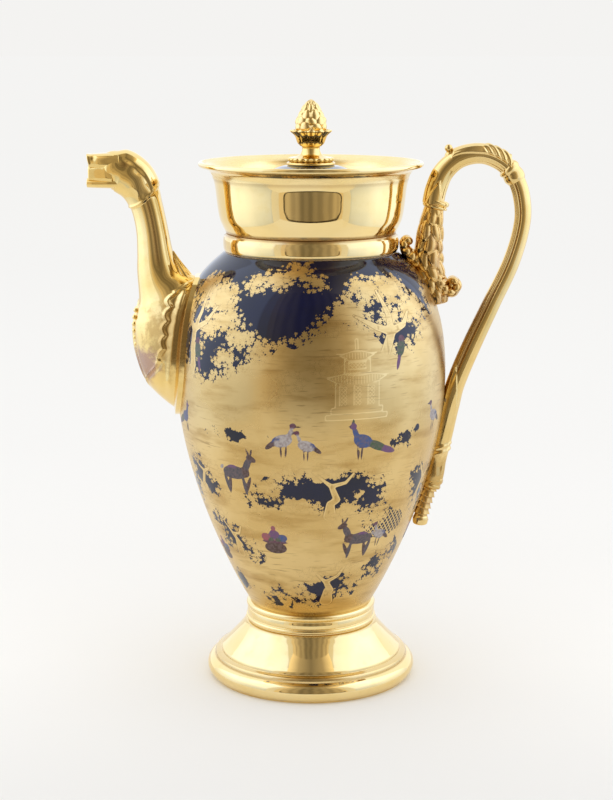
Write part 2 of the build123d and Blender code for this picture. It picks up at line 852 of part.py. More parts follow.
# Leafy tip that bridges the spout's stem and the shoulder
with BuildPart() as spout_bracket:
    with BuildSketch(Plane.XZ):
        with BuildLine():
            Polyline(
                (-belly_radius - 2, spout_root_top),
                (-belly_radius - 2, spout_root_top + bracket_rise),
                (-belly_radius + 0.6, spout_root_top + bracket_rise),
                (-belly_radius + 3.4, spout_root_top + 12),
                (-belly_radius + 6.5, spout_root_top + 8),
                (-belly_radius + 12, spout_root_top),
                close=True,
            )
        make_face()
    extrude(amount=bracket_width, both=True)
    add(stem_form.part, mode=Mode.SUBTRACT)
    add(spout_flange.part, mode=Mode.SUBTRACT)
    add(body_form.part, mode=Mode.SUBTRACT)
spout_bracket.part.label = "spout_bracket"


os.makedirs("parts", exist_ok=True)
pieces = (
    foot,
    body,
    neck_ring,
    neck,
    lid_cover,
    finial_base,
    finial_cup,
    finial_bud,
    spout_root,
    spout_flange,
    spout_bracket,
    spout_neck,
    spout_head,
    spout_scallops,
    spout_beads,
    handle_arm,
    arch_band,
    handle_leaf,
    thumb_bead,
    handle_collar,
    handle_trunk,
    handle_tail,
    tail_leaf,
    tail_ring,
    husk_stem,
    tail_knob,
)
for piece in pieces:
    export_step(piece.part, f"parts/{piece.part.label}.step")
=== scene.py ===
# %% [markdown]
# # A gilded porcelain coffee pot
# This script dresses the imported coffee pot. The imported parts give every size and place;
# each cell below adds one finish or one modelled piece, and prints what it made.

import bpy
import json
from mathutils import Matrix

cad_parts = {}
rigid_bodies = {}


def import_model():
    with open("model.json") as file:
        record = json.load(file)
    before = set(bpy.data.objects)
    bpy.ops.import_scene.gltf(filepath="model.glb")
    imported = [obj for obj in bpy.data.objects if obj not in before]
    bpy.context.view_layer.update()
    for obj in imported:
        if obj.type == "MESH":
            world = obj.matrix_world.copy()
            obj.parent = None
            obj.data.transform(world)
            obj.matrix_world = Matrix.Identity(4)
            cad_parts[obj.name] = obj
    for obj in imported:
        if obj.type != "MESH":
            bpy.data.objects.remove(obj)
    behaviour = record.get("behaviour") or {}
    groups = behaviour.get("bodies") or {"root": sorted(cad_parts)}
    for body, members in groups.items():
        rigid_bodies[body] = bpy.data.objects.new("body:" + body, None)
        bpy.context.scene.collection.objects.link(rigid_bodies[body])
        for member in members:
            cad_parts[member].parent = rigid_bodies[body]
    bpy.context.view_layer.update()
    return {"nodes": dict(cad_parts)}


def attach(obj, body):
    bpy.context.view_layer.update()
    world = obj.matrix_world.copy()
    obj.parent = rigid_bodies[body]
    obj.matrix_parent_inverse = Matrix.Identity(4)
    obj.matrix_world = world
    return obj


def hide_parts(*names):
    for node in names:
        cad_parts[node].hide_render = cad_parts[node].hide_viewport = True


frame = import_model()

# %% [markdown]
# ## Units and tools
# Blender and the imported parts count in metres, but a potter thinks in millimetres, so sizes
# below are written in millimetres and scaled once, where a mesh is made. numpy works out many
# points at a time, and one seed keeps every chance detail the same on each run.

# %% Imports and units
import json
import math
import random

import bmesh
import bpy
import numpy as np
from mathutils import Matrix, Vector

MM = 0.001
random.seed(7)
print("one millimetre is", MM, "of Blender's metres")

# %% [markdown]
# ## Finishes
# A finish here is a node material. Each one is built by a small helper that adds a node,
# sets its plain values on its own sockets, and wires the ones that vary over the surface.

# %% A helper that adds one shader node
def add_node(material, kind, wires=(), **settings):
    """Adds a node, sets properties and sockets by name, and wires (socket, source) pairs."""
    node = material.node_tree.nodes.new(kind)
    for name, value in settings.items():
        socket = name.replace("_", " ").strip()
        match = [s for s in node.inputs if s.name.lower() == socket.lower()]
        if hasattr(node, name):
            setattr(node, name, value)
        else:
            match[0].default_value = value
    for socket, source in wires:
        target = node.inputs[socket]
        material.node_tree.links.new(source, target)
    return node


def new_finish(name):
    """An empty node material with its output node."""
    material = bpy.data.materials.new(name)
    material.use_nodes = True
    material.node_tree.nodes.clear()
    return material, add_node(material, "ShaderNodeOutputMaterial")


print("node helper ready")

# %% [markdown]
# ### Sums, blends and noise
# A pattern on a pot is worked out in small steps: a sum, a blend of two colours, a smooth step,
# a noise. Each helper adds one such node and gives back its result, so that a finish reads as
# a few lines of arithmetic. The same could be drawn by hand in the shader editor.

# %% Helpers for sums, blends and smooth steps
def math_node(material, operation, first, second=0.0, third=None):
    """One sum on values or sockets, giving its result socket."""
    node = add_node(material, "ShaderNodeMath", operation=operation)
    for socket, value in zip(node.inputs, (first, second, third)):
        if isinstance(value, bpy.types.NodeSocket):
            material.node_tree.links.new(value, socket)
        elif value is not None:
            socket.default_value = value
    return node.outputs[0]


def blend_colours(material, factor, first, second):
    """A mix of two colours, where either may be a socket."""
    node = add_node(material, "ShaderNodeMix", data_type="RGBA")
    for index, value in ((0, factor), (6, first), (7, second)):
        if isinstance(value, bpy.types.NodeSocket):
            material.node_tree.links.new(value, node.inputs[index])
        else:
            node.inputs[index].default_value = value
    return node.outputs[2]


def spread(material, value, low, high, start=0.0, end=1.0):
    """A smooth step of a value from one range to another."""
    node = add_node(material, "ShaderNodeMapRange", interpolation_type="SMOOTHSTEP")
    for index, given in enumerate((value, low, high, start, end)):
        if isinstance(given, bpy.types.NodeSocket):
            material.node_tree.links.new(given, node.inputs[index])
        else:
            node.inputs[index].default_value = given
    return node.outputs[0]


print("sums, blends and smooth steps ready")

# %% Helpers for noise, places and bumps
def noise(material, place, scale, detail=3.0, roughness=0.5):
    """The grey value of a noise pattern at a place."""
    node = add_node(
        material, "ShaderNodeTexNoise", [("Vector", place)], Scale=scale, Detail=detail, Roughness=roughness
    )
    return node.outputs[0]


def object_place(material):
    """The place of each point on its object, in metres."""
    return add_node(material, "ShaderNodeTexCoord").outputs["Object"]


def place_parts(material):
    """The three coordinates of each point, one output each."""
    return add_node(material, "ShaderNodeSeparateXYZ", [("Vector", object_place(material))]).outputs


def stretched_place(material, across, up):
    """Object coordinates scaled across and up, so that a pattern runs in streaks."""
    place = object_place(material)
    return add_node(material, "ShaderNodeMapping", [("Vector", place)], Scale=(across, across, up)).outputs[0]


def bumpy(material, height, strength, distance, before=None):
    """A bump of a height, laid over an earlier bump if there is one."""
    wires = [("Height", height)] + ([("Normal", before)] if before else [])
    return add_node(material, "ShaderNodeBump", wires, Strength=strength, Distance=distance).outputs[0]


print("noise, places and bumps ready")

# %% [markdown]
# ### Burnished gold
# Powdered gold is painted on the glaze, fired, and rubbed with an agate stone until it is a
# mirror. Up close the mirror is never perfect: the stone leaves faint strokes, thick and thin
# coats differ in colour, and worn places turn pink or violet where the glaze shows through.

# %% A helper for burnished gold
WORN_PINK = (0.72, 0.50, 0.42, 1)
WORN_VIOLET = (0.42, 0.29, 0.36, 1)
HOLLOW_SHADE_BROWN = (0.36, 0.19, 0.06, 1)
COAT_SCALE, STREAK_SCALE, PATCH_SCALE, RAGGED_SCALE, TOOL_SCALE = 42.0, 160.0, 30.0, 230.0, 620.0
STROKES_ACROSS, STROKES_UP = 60.0, 900.0
SHALLOW_HOLLOW, DEEP_HOLLOW = -0.10, -0.65
DULL_ROUGHNESS, PATCH_ROUGHNESS = 0.25, 0.16


def patch_share(material, x, z, reach, most):
    """How much of a tinted patch shows at a point, for a ragged round patch seen from the side."""
    parts = place_parts(material)
    along = math_node(material, "SUBTRACT", parts[0], x * MM)
    above = math_node(material, "SUBTRACT", parts[2], z * MM)
    square = math_node(material, "MULTIPLY_ADD", along, along, math_node(material, "POWER", above, 2.0))
    frayed = noise(material, object_place(material), RAGGED_SCALE, 6.0, 0.7)
    ragged = math_node(material, "MULTIPLY", frayed, reach * MM * 1.6)
    gap = math_node(material, "ADD", math_node(material, "SQRT", square), ragged)
    return spread(material, gap, reach * MM * 1.9, reach * MM * 1.3, 0.0, most)


def burnished(name, tints, roughness=0.05, worn=0.0, streaks=0.3, carving=0.0, hollows=0.0, tinted_patches=()):
    """Mirror gold of (pale, full, deep) tints, with wear, fine tooling, painted shade in hollows and tinted
    patches.
    """
    pale, full, deep = tints
    material, output = new_finish(name)
    place = object_place(material)
    coat = noise(material, place, COAT_SCALE, 4.0)
    colour = blend_colours(material, spread(material, coat, 0.35, 0.68), pale, full)
    thin = spread(material, noise(material, place, STREAK_SCALE, 5.0), 0.52, 0.8, 0.0, streaks)
    colour = blend_colours(material, thin, colour, deep)
    if worn:
        patches = noise(material, place, PATCH_SCALE, 6.0, 0.6)
        lustre = blend_colours(material, spread(material, coat, 0.4, 0.6), WORN_PINK, WORN_VIOLET)
        colour = blend_colours(material, spread(material, patches, 0.5, 0.66, 0.0, worn), colour, lustre)
    strokes = noise(material, stretched_place(material, STROKES_ACROSS, STROKES_UP), 1.0, 4.0)
    gloss = spread(material, strokes, 0.3, 0.75, roughness * 0.7, roughness * 1.7)
    # Hollows go brown and duller: painted shade where light hardly reaches.
    if hollows:
        carved = add_node(material, "ShaderNodeAttribute", attribute_name="carved_height").outputs["Fac"]
        dull = spread(material, carved, SHALLOW_HOLLOW, DEEP_HOLLOW, 0.0, hollows)
        colour = blend_colours(material, dull, colour, HOLLOW_SHADE_BROWN)
        gloss = math_node(material, "MULTIPLY_ADD", dull, DULL_ROUGHNESS, gloss)
    # Each patch browns the gold and makes it duller.
    for x, z, reach, tint, most in tinted_patches:
        share = patch_share(material, x, z, reach, most)
        colour = blend_colours(material, share, colour, tint)
        gloss = math_node(material, "MULTIPLY_ADD", share, PATCH_ROUGHNESS, gloss)
    bump = bumpy(material, noise(material, place, 60.0, 2.0), 0.10, 0.0004)
    if carving:
        bump = bumpy(material, noise(material, place, TOOL_SCALE, 3.0), carving, 0.0004, bump)
    shader = add_node(
        material, "ShaderNodeBsdfPrincipled",
        [("Base Color", colour), ("Roughness", gloss), ("Normal", bump)], Metallic=1.0,
    )
    material.node_tree.links.new(shader.outputs[0], output.inputs[0])
    return material


print("burnished gold helper ready, with hollows as deep as", DEEP_HOLLOW, "mm")

# %% [markdown]
# ### Which gold goes where
# The turned pieces get the palest tints. Moulded relief, spout, handle and trunk get deeper, browner
# tints: painted reflection and shade for the deeper gold their curves show. Their hollows get painted
# shade. On the spout's root beside the body a browner patch is painted shade, a violet patch is wear,
# and the handle's tail has a browner patch. One helper makes every gold from three tints and a few amounts.

# %% Gold finishes
TURNED_TINTS = ((0.93, 0.73, 0.36, 1), (0.92, 0.70, 0.31, 1), (0.84, 0.57, 0.18, 1))
MOULDED_TINTS = ((0.90, 0.67, 0.27, 1), (0.85, 0.60, 0.20, 1), (0.72, 0.46, 0.11, 1))
SPOUT_TINTS = ((0.90, 0.68, 0.30, 1), (0.85, 0.61, 0.22, 1), (0.70, 0.45, 0.10, 1))
HANDLE_TINTS = ((0.84, 0.62, 0.27, 1), (0.78, 0.55, 0.20, 1), (0.60, 0.37, 0.09, 1))
TRUNK_TINTS = ((0.78, 0.53, 0.20, 1), (0.69, 0.44, 0.14, 1), (0.46, 0.26, 0.07, 1))
MOUTH_SHADE_TINTS = ((0.42, 0.25, 0.08, 1), (0.34, 0.19, 0.05, 1), (0.22, 0.11, 0.03, 1))
# Spout: a brown patch on the calyx beside the body is painted shade, a violet patch is wear. Handle: a
# browner patch at the tail.
SPOUT_SHADE_AND_WEAR = ((-62, 170, 19, (0.50, 0.31, 0.10, 1), 0.85), (-79, 156, 9, (0.40, 0.22, 0.17, 1), 0.8))
HANDLE_BROWN_PATCH = ((59, 100, 14, (0.50, 0.30, 0.09, 1), 0.6),)

turned_gold = burnished("turned_gold", TURNED_TINTS, 0.04, hollows=0.75)
worn_gold = burnished("worn_gold", TURNED_TINTS, 0.06, worn=0.5, hollows=0.75)
dish_gold = burnished("dish_gold", TURNED_TINTS, 0.22)
moulded_gold = burnished("moulded_gold", MOULDED_TINTS, 0.07, hollows=0.5)
bud_gold = burnished("bud_gold", MOULDED_TINTS, 0.13, worn=0.2, streaks=0.7, carving=0.2, hollows=0.85)
# Dark brown gold for the inside of the mouth: painted shade.
mouth_shade_gold = burnished("mouth_shade_gold", MOUTH_SHADE_TINTS, 0.25)
spout_gold = burnished("spout_gold", SPOUT_TINTS, 0.07, hollows=0.6, tinted_patches=SPOUT_SHADE_AND_WEAR)
handle_gold = burnished("handle_gold", HANDLE_TINTS, 0.08, hollows=0.85, tinted_patches=HANDLE_BROWN_PATCH)
trunk_gold = burnished("trunk_gold", TRUNK_TINTS, 0.14, worn=0.2, streaks=0.7, carving=0.2, hollows=0.95)
print("gold finishes:", [finish.name for finish in bpy.data.materials if finish.name.endswith("gold")])

# %% [markdown]
# ### Glazes
# The porcelain under the gold is white with a clear glaze. The ground colour is cobalt under
# the same glaze: nearly black in the middle of a reflection, blue where light falls on it.

# %% Cobalt and white glaze finishes
COBALT = (0.0016, 0.0022, 0.013, 1)
COBALT_LIGHT = (0.0030, 0.0045, 0.032, 1)
PORCELAIN, PORCELAIN_LIGHT = (0.80, 0.80, 0.78, 1), (0.86, 0.86, 0.85, 1)


def glaze(name, dark, light):
    """A coloured glaze with slight pooling and a faint orange-peel ripple."""
    material, output = new_finish(name)
    place = object_place(material)
    pooled = spread(material, noise(material, place, 30.0, 5.0), 0.35, 0.7)
    ripple = bumpy(material, noise(material, place, 70.0, 1.0), 0.08, 0.0005)
    shader = add_node(
        material, "ShaderNodeBsdfPrincipled",
        [("Base Color", blend_colours(material, pooled, dark, light)), ("Normal", ripple)],
        Roughness=0.05, IOR=1.52, Coat_Weight=0.6, Coat_Roughness=0.02,
    )
    material.node_tree.links.new(shader.outputs[0], output.inputs[0])
    return material


cobalt_glaze = glaze("cobalt_glaze", COBALT, COBALT_LIGHT)
white_glaze = glaze("white_glaze", PORCELAIN, PORCELAIN_LIGHT)
print("glazes:", cobalt_glaze.name, white_glaze.name)

# %% [markdown]
# ## Turned pieces
# Foot, neck, ring and lid are thrown and turned on a wheel, so each is one outline spun round
# the upright axis. A bmesh starts from the outline's vertices; spin with merged ends closes it.

# %% Helpers for outlines
def curve_through(points, steps=8):
    """Points of a smooth curve through a few (radius, height) points."""
    rows = [np.array(p, float) for p in points]
    ends = [2 * rows[0] - rows[1], *rows, 2 * rows[-1] - rows[-2]]
    path = []
    for before, start, end, after in zip(ends, ends[1:], ends[2:], ends[3:]):
        span = np.linalg.norm(end - start)
        pull_in = (end - before) * span / max(np.linalg.norm(start - before) + span, 1e-9)
        pull_out = (after - start) * span / max(np.linalg.norm(after - end) + span, 1e-9)
        for share in np.linspace(0, 1, steps, endpoint=False):
            square, cube = share**2, share**3
            path.append(
                (2 * cube - 3 * square + 1) * start + (cube - 2 * square + share) * pull_in
                + (3 * square - 2 * cube) * end + (cube - square) * pull_out
            )
    return [tuple(p) for p in path] + [tuple(points[-1])]


def arc(centre, radius, start, end, steps=8):
    """Points of a round arc between two angles in degrees."""
    return [
        (centre[0] + radius * math.cos(math.radians(a)), centre[1] + radius * math.sin(math.radians(a)))
        for a in np.linspace(start, end, steps + 1)
    ]


print("outline helpers ready")

# %% Helpers for spun pieces
TURNS = 192
MERGE_DISTANCE = 2e-6


def spin_outline(outline, turns=TURNS):
    """A bmesh of an outline, in millimetres, spun a full turn about the upright axis."""
    bm = bmesh.new()
    dots = [bm.verts.new((0, -radius * MM, height * MM)) for radius, height in outline]
    edges = [bm.edges.new(pair) for pair in zip(dots, dots[1:])]
    bmesh.ops.spin(
        bm, geom=dots + edges, axis=(0, 0, 1), cent=(0, 0, 0), angle=math.tau, steps=turns, use_merge=True
    )
    bmesh.ops.remove_doubles(bm, verts=bm.verts, dist=MERGE_DISTANCE)
    return bm


def finish_piece(name, bm, body, finish, slot, *nodes, sharp=40):
    """Makes the object from a bmesh, smooths it, and puts it on its body in place of its nodes."""
    bmesh.ops.recalc_face_normals(bm, faces=bm.faces)
    mesh = bpy.data.meshes.new(name)
    bm.to_mesh(mesh)
    bm.free()
    for polygon in mesh.polygons:
        polygon.use_smooth = True
    if sharp:
        mesh.set_sharp_from_angle(angle=math.radians(sharp))
    piece = bpy.data.objects.new(name, mesh)
    bpy.context.scene.collection.objects.link(piece)
    for one in finish if isinstance(finish, (list, tuple)) else [finish]:
        mesh.materials.append(one)
    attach(piece, body)
    if nodes:
        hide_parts(*nodes)
    print(name, "faces:", len(mesh.polygons))
    return piece


def mark_crease_shade(bm, heights, depths):
    """Marks the creases of a turned piece as hollows, by height, for painted shade: dull and brown."""
    carved = bm.verts.layers.float.new("carved_height")
    for vertex in bm.verts:
        vertex[carved] = -float(np.interp(vertex.co.z / MM, heights, depths))


print("turning helpers ready, with", TURNS, "steps in a turn")

# %% [markdown]
# ### Foot
# The foot is a low cone on a round rim, with a groove above the rim and two beads at the top,
# and it is hollow underneath. Its outline is drawn from arcs and smooth curves, because a turner
# cuts just those, and then spun. Its creases are marked for painted shade, brown and duller.

# %% Foot
foot_outline = (
    [(38.2, 0.0), (48.3, 0.0)]
    + arc((46.3, 4.7), 4.7, -64, 66, 16)
    + [(47.7, 9.25), (47.35, 9.45)]
    + curve_through([(47.3, 9.7), (47.25, 10.5), (46.7, 11.4), (45.7, 11.85)], 5)
    + [(44.6, 11.95), (44.25, 12.2), (44.15, 12.9)]
    + curve_through([(43.9, 13.5), (42.3, 15.1), (38.2, 19.4), (34.6, 23.6), (32.6, 26.4)], 8)
    + [(32.3, 27.2), (31.2, 27.6), (31.15, 28.0)]
    + arc((30.9, 28.95), 0.95, -70, 75, 8)
    + [(31.15, 30.1), (31.0, 30.35)]
    + curve_through([(31.2, 30.6), (31.3, 32.0), (31.0, 33.5)], 5)
    + [(30.85, 33.7), (30.9, 33.95)]
    + arc((29.9, 35.5), 1.75, -58, 62, 10)
    + [(30.2, 37.3), (29.8, 37.5), (24.7, 37.5), (24.7, 28.5), (38.2, 0.0)]
)
FOOT_CREASES = (8.9, 9.4, 11.9, 12.6, 13.6, 25.8, 27.0, 28.2, 28.8)
foot_bm = spin_outline(foot_outline)
mark_crease_shade(foot_bm, FOOT_CREASES, (0, 0.34, 0.34, 0.22, 0, 0, 0.3, 0.3, 0))
finish_piece("foot_turned", foot_bm, "pot", turned_gold, "gold", "foot")

# %% [markdown]
# ### Neck ring and neck
# A plain ring hides the seam between body and neck. The neck above it is a bell that flares to
# a rounded brim, then turns inwards as a dish with a ledge for the lid. Both are spun outlines.
# The dish is rubbed matt by the lid, and the throat is bare glaze, so faces there change finish.

# %% Neck ring
ring_outline = (
    [(36.5, 208.8), (40.7, 208.8)]
    + curve_through([(41.0, 209.2), (41.45, 210.4), (41.65, 212.6), (41.6, 214.6), (41.2, 216.2)], 6)
    + [(40.4, 216.9), (40.3, 217.4), (36.5, 217.4), (36.5, 208.8)]
)
ring_bm = spin_outline(ring_outline)
# The ring's edges against body and neck get painted shade.
mark_crease_shade(ring_bm, (208.9, 210.2, 215.6, 216.9), (0.6, 0, 0, 0.5))
finish_piece("ring_turned", ring_bm, "pot", worn_gold, "gold", "neck_ring")

# %% Neck
neck_outline = (
    [(36.5, 217.4), (39.8, 217.4)]
    + curve_through(
        [(40.2, 217.9), (41.6, 220.6), (43.1, 224.2), (44.1, 229.5), (44.75, 235.2), (45.35, 239.9),
         (46.3, 243.9)], 8
    )
    + curve_through([(46.6, 244.7), (47.6, 246.4), (49.6, 247.8), (52.1, 248.5)], 6)
    + arc((51.9, 249.75), 1.25, -70, 90, 10)
    + curve_through(
        [(51.4, 250.95), (47.6, 248.9), (44.2, 245.0), (42.0, 240.2), (41.0, 235.2), (40.9, 231.5)], 8
    )
    + [(40.9, 228.0), (36.5, 228.0), (36.5, 217.4)]
)
neck_bm = spin_outline(neck_outline)
# The crease at the foot of the neck and the band under the brim get painted shade.
mark_crease_shade(neck_bm, (217.4, 218.6, 219.9, 240.6, 242.6, 245.4, 246.6), (0.6, 0.5, 0, 0, 0.36, 0.36, 0))
neck_piece = finish_piece("neck_turned", neck_bm, "pot", turned_gold, "gold", "neck")
neck_piece.data.materials.append(white_glaze)
neck_piece.data.materials.append(dish_gold)
THROAT_RADIUS, LEDGE_HEIGHT = 37, 228.2
DISH_EDGE = ((228, 240, 247, 250), (42, 44.5, 48, 51.5))
for polygon in neck_piece.data.polygons:
    out, height = math.hypot(polygon.center.x, polygon.center.y) / MM, polygon.center.z / MM
    in_throat = out < THROAT_RADIUS and height < LEDGE_HEIGHT
    in_dish = height > LEDGE_HEIGHT and out < np.interp(height, *DISH_EDGE)
    polygon.material_index = 1 if in_throat else 2 if in_dish else 0
print("faces in the dish:", sum(polygon.material_index == 2 for polygon in neck_piece.data.polygons))

# %% [markdown]
# ### Lid
# The lid is a shallow dome with a rim that drops inside the neck and keeps it centred. It lifts
# straight off, so it rides on a body of its own. It is glazed cobalt all over, with no gilding.

# %% Lid
lid_outline = (
    [(0.0, 249.0), (12.5, 249.0)]
    + arc((0.0, 200.15), 50.45, 74, 37.6, 24)
    + arc((39.3, 229.7), 0.8, 40, -40, 5)
    + [(39.6, 228.0), (35.7, 228.0), (35.7, 212.6), (35.2, 212.0), (33.2, 212.0), (32.7, 212.6)]
    + [(32.7, 234.6), (28.0, 237.6), (20.0, 242.0), (14.0, 245.0), (0.0, 245.8)]
)
finish_piece("lid_turned", spin_outline(lid_outline), "lid", cobalt_glaze, "blue", "lid_cover")

# %% [markdown]
# ## The painted body
# The body is an oval vessel thrown in one piece. A grid wrapped round the axis gives it: the
# same form as a spin, with even rows to draw on. Its decoration is gold laid over cobalt, cut
# into trees, banks and leaves. A texture image isn't used: the outline of every gilt shape is
# stored on the mesh as a depth in millimetres, above zero inside the shape, so the shader can
# cut a sharp edge anywhere and break it into leaf lobes. The mesh is dense for that reason.

# %% The curve of the flank
BODY_ROWS, WALL, WALL_TOP = 184, 3.4, 203
FLANKS = (
    [(29.8, 37.5), (35.909, 47.829), (64.59, 100.9), (64.59, 150.4)],
    [(64.59, 150.4), (64.59, 194.4), (46.793, 203.283), (41.0, 208.8)],
)


def bezier(points, share):
    """A point of a four-point curve."""
    a, b, c, d = (np.array(p) for p in points)
    rest = 1 - share
    return rest**3 * a + 3 * rest**2 * share * b + 3 * rest * share**2 * c + share**3 * d


flank = np.array([bezier(curve, share) for curve in FLANKS for share in np.linspace(0, 1, 400)])
flank_run = np.concatenate([[0], np.cumsum(np.hypot(*np.diff(flank, axis=0).T))])
even_run = np.linspace(0, flank_run[-1], BODY_ROWS + 1)
flank_even = [tuple(p) for p in np.stack([np.interp(even_run, flank_run, flank[:, i]) for i in (0, 1)], 1)]
inside = [(radius - WALL, height) for radius, height in flank_even[12::13] if height < WALL_TOP]
body_outline = [(0.0, 37.5)] + flank_even + [(36.5, 208.8), (36.5, 206.5)]
body_outline += inside[::-1] + [(27.6, 42.0), (0.0, 42.0)]
print("body outline points:", len(body_outline), "flank length in mm:", round(float(flank_run[-1]), 1))

# %% Wrap the body
BODY_TURNS = 480


def wrap_grid(outline, turns):
    """A bmesh of an outline wrapped round the axis: a grid whose columns become turns."""
    bm = bmesh.new()
    bmesh.ops.create_grid(bm, x_segments=turns, y_segments=len(outline) - 1, size=0.5)
    for vertex in bm.verts:
        radius, height = outline[round((vertex.co.y + 0.5) * (len(outline) - 1))]
        angle = math.tau * vertex.co.x
        vertex.co = (radius * MM * math.sin(angle), -radius * MM * math.cos(angle), height * MM)
    bmesh.ops.remove_doubles(bm, verts=bm.verts, dist=MERGE_DISTANCE)
    return bm


body_bm = wrap_grid(body_outline, BODY_TURNS)
print("points on the wrapped body:", len(body_bm.verts))

# %% [markdown]
# ### Drawing on the flank
# Every point of the flank has a turn round the pot, in degrees with 0 towards the viewer and
# 90 towards the handle, and a run up the flank. Shapes are rounds and tapered strokes measured
# in those two, so a leaf has the same size at the belly and near the foot.

# %% Places on the flank
NOWHERE = -99.0
body_mesh = bpy.data.meshes.new("body_painted")
bmesh.ops.recalc_face_normals(body_bm, faces=body_bm.faces)
body_bm.to_mesh(body_mesh)
body_bm.free()
spots = np.empty(len(body_mesh.vertices) * 3)
body_mesh.vertices.foreach_get("co", spots)
spots = spots.reshape(-1, 3) / MM
reach = np.hypot(spots[:, 0], spots[:, 1])
turn = np.degrees(np.arctan2(spots[:, 0], -spots[:, 1]))


def radius_at(height):
    """The radius of the flank at a height."""
    return np.interp(height, flank[:, 1], flank[:, 0])


def run_at(height):
    """The run up the flank to a height."""
    return np.interp(height, flank[:, 1], flank_run)


def degrees_per_mm(height):
    """The turn, in degrees, that makes one millimetre round the pot at a height."""
    return math.degrees(1 / radius_at(height))


def away(at_turn, at_height):
    """How far each point lies round and up from a spot, in millimetres."""
    gap = (turn - at_turn + 180) % 360 - 180
    return np.radians(gap) * reach, run - run_at(at_height)


run = run_at(spots[:, 2])
print("drawing on", len(turn), "points")

# %% Ovals, strokes and clouds of foliage
def pad(at_turn, at_height, wide, tall, tilt=0.0):
    """Depth inside an oval."""
    across, up = away(at_turn, at_height)
    c, s = math.cos(math.radians(tilt)), math.sin(math.radians(tilt))
    x, y = across * c + up * s, up * c - across * s
    return (1 - np.hypot(x / wide, y / tall)) * min(wide, tall)


def limb(*stations):
    """Depth inside a tapered stroke through (turn, height, half width) stations."""
    depth = np.full(len(turn), NOWHERE)
    for (turn_a, height_a, half_a), (turn_b, height_b, half_b) in zip(stations, stations[1:]):
        across, up = away(turn_a, height_a)
        step_x = math.radians(turn_b - turn_a) * radius_at((height_a + height_b) / 2)
        step_y = run_at(height_b) - run_at(height_a)
        share = np.clip((across * step_x + up * step_y) / (step_x**2 + step_y**2), 0, 1)
        gap = np.hypot(across - share * step_x, up - share * step_y)
        depth = np.maximum(depth, half_a + (half_b - half_a) * share - gap)
    return depth


def union(*depths):
    """Depth inside any of several shapes."""
    return np.maximum.reduce(depths)


def clump(at_turn, at_height, wide, tall, pads=7):
    """Depth inside a cloud of foliage: a core ringed by smaller rounds."""
    scale = degrees_per_mm(at_height)
    shapes = [pad(at_turn, at_height, wide * 0.8, tall * 0.8)]
    for k in range(pads):
        angle = math.tau * (k + random.uniform(-0.25, 0.25)) / pads
        size = random.uniform(0.28, 0.46) * tall
        shapes.append(pad(
            at_turn + math.cos(angle) * wide * 0.74 * scale, at_height + math.sin(angle) * tall * 0.74,
            size * random.uniform(1.0, 1.5), size,
        ))
    return union(*shapes)


print("the flank's radius at a height of 150 mm:", round(float(radius_at(150)), 1))

# %% [markdown]
# ### The landscape
# Gold banks carry trees against a cobalt sky. The motifs are the common stock of garden
# scenes: trees, a footbridge, a trellis, grasses, birds and deer. They run right round the pot.

# %% Sky openings between the gold banks
SKY_LINE = [
    (-180, 166), (-150, 176), (-128, 163), (-104, 174), (-84, 168), (-66, 160), (-52, 153), (-38, 157),
    (-24, 165), (-12, 172), (0, 176), (12, 184), (24, 180), (36, 168), (48, 170), (60, 180), (74, 186),
    (90, 172), (112, 160), (134, 178), (158, 158), (180, 166),
]
OPENINGS = [
    (-8, 107, 15, 6), (8, 104, 13, 9), (20, 109, 9, 6), (-22, 100, 7, 4.5), (31, 100, 7, 8),
    (-66, 112, 8, 7), (-57, 105, 10, 7), (-74, 99, 6, 8), (60, 104, 7, 11), (68, 94, 8, 7),
    (78, 108, 6, 8), (-46, 76, 11, 7), (-56, 83, 7, 8), (-35, 70, 6, 5), (42, 86, 12, 7), (2, 50, 11, 7),
    (18, 54, 11, 8), (-24, 47, 8, 6), (46, 62, 8, 7), (56, 69, 6, 6), (-100, 112, 11, 9),
    (-116, 104, 12, 8), (-92, 70, 9, 8), (-132, 74, 11, 7), (-150, 106, 12, 9), (104, 86, 9, 8),
    (118, 104, 13, 8), (136, 110, 9, 6), (150, 78, 11, 8), (172, 108, 13, 9), (-172, 66, 10, 7),
    (100, 56, 7, 6), (130, 52, 8, 6), (176, 50, 7, 5), (-112, 52, 8, 6), (-60, 52, 6, 5),
    (-34, 131, 9, 2.0), (44, 128, 5, 2.2), (50, 131, 3, 2.4), (37, 126, 3, 1.8), (-140, 132, 11, 2.6),
    (158, 130, 9, 2.4), (-84, 190, 6, 9), (112, 190, 8, 8),
]
line_turns, line_heights = zip(*SKY_LINE)
bank_top = np.interp(turn, line_turns, line_heights)
sky = spots[:, 2] - bank_top
for opening in OPENINGS:
    sky = np.maximum(sky, pad(*opening))
broad_ripple = 1.6 * np.sin(np.radians(turn) * 19) * np.cos(run / 5.1)
fine_ripple = 0.8 * np.sin(np.radians(turn) * 41 + run / 3.7)
sky += broad_ripple + fine_ripple
print("sky covers", round(100 * float((sky[reach > 29] > 0).mean())), "% before the trees")

# %% [markdown]
# ### Trees
# A tree is a stem that bends, and boughs that run on from it to their tips. Its foliage is drawn
# as clouds of rounds, because that is how a gilder lays it down before cutting in the leaves. A
# row of small tufts along the sky's edge makes the banks look overgrown.

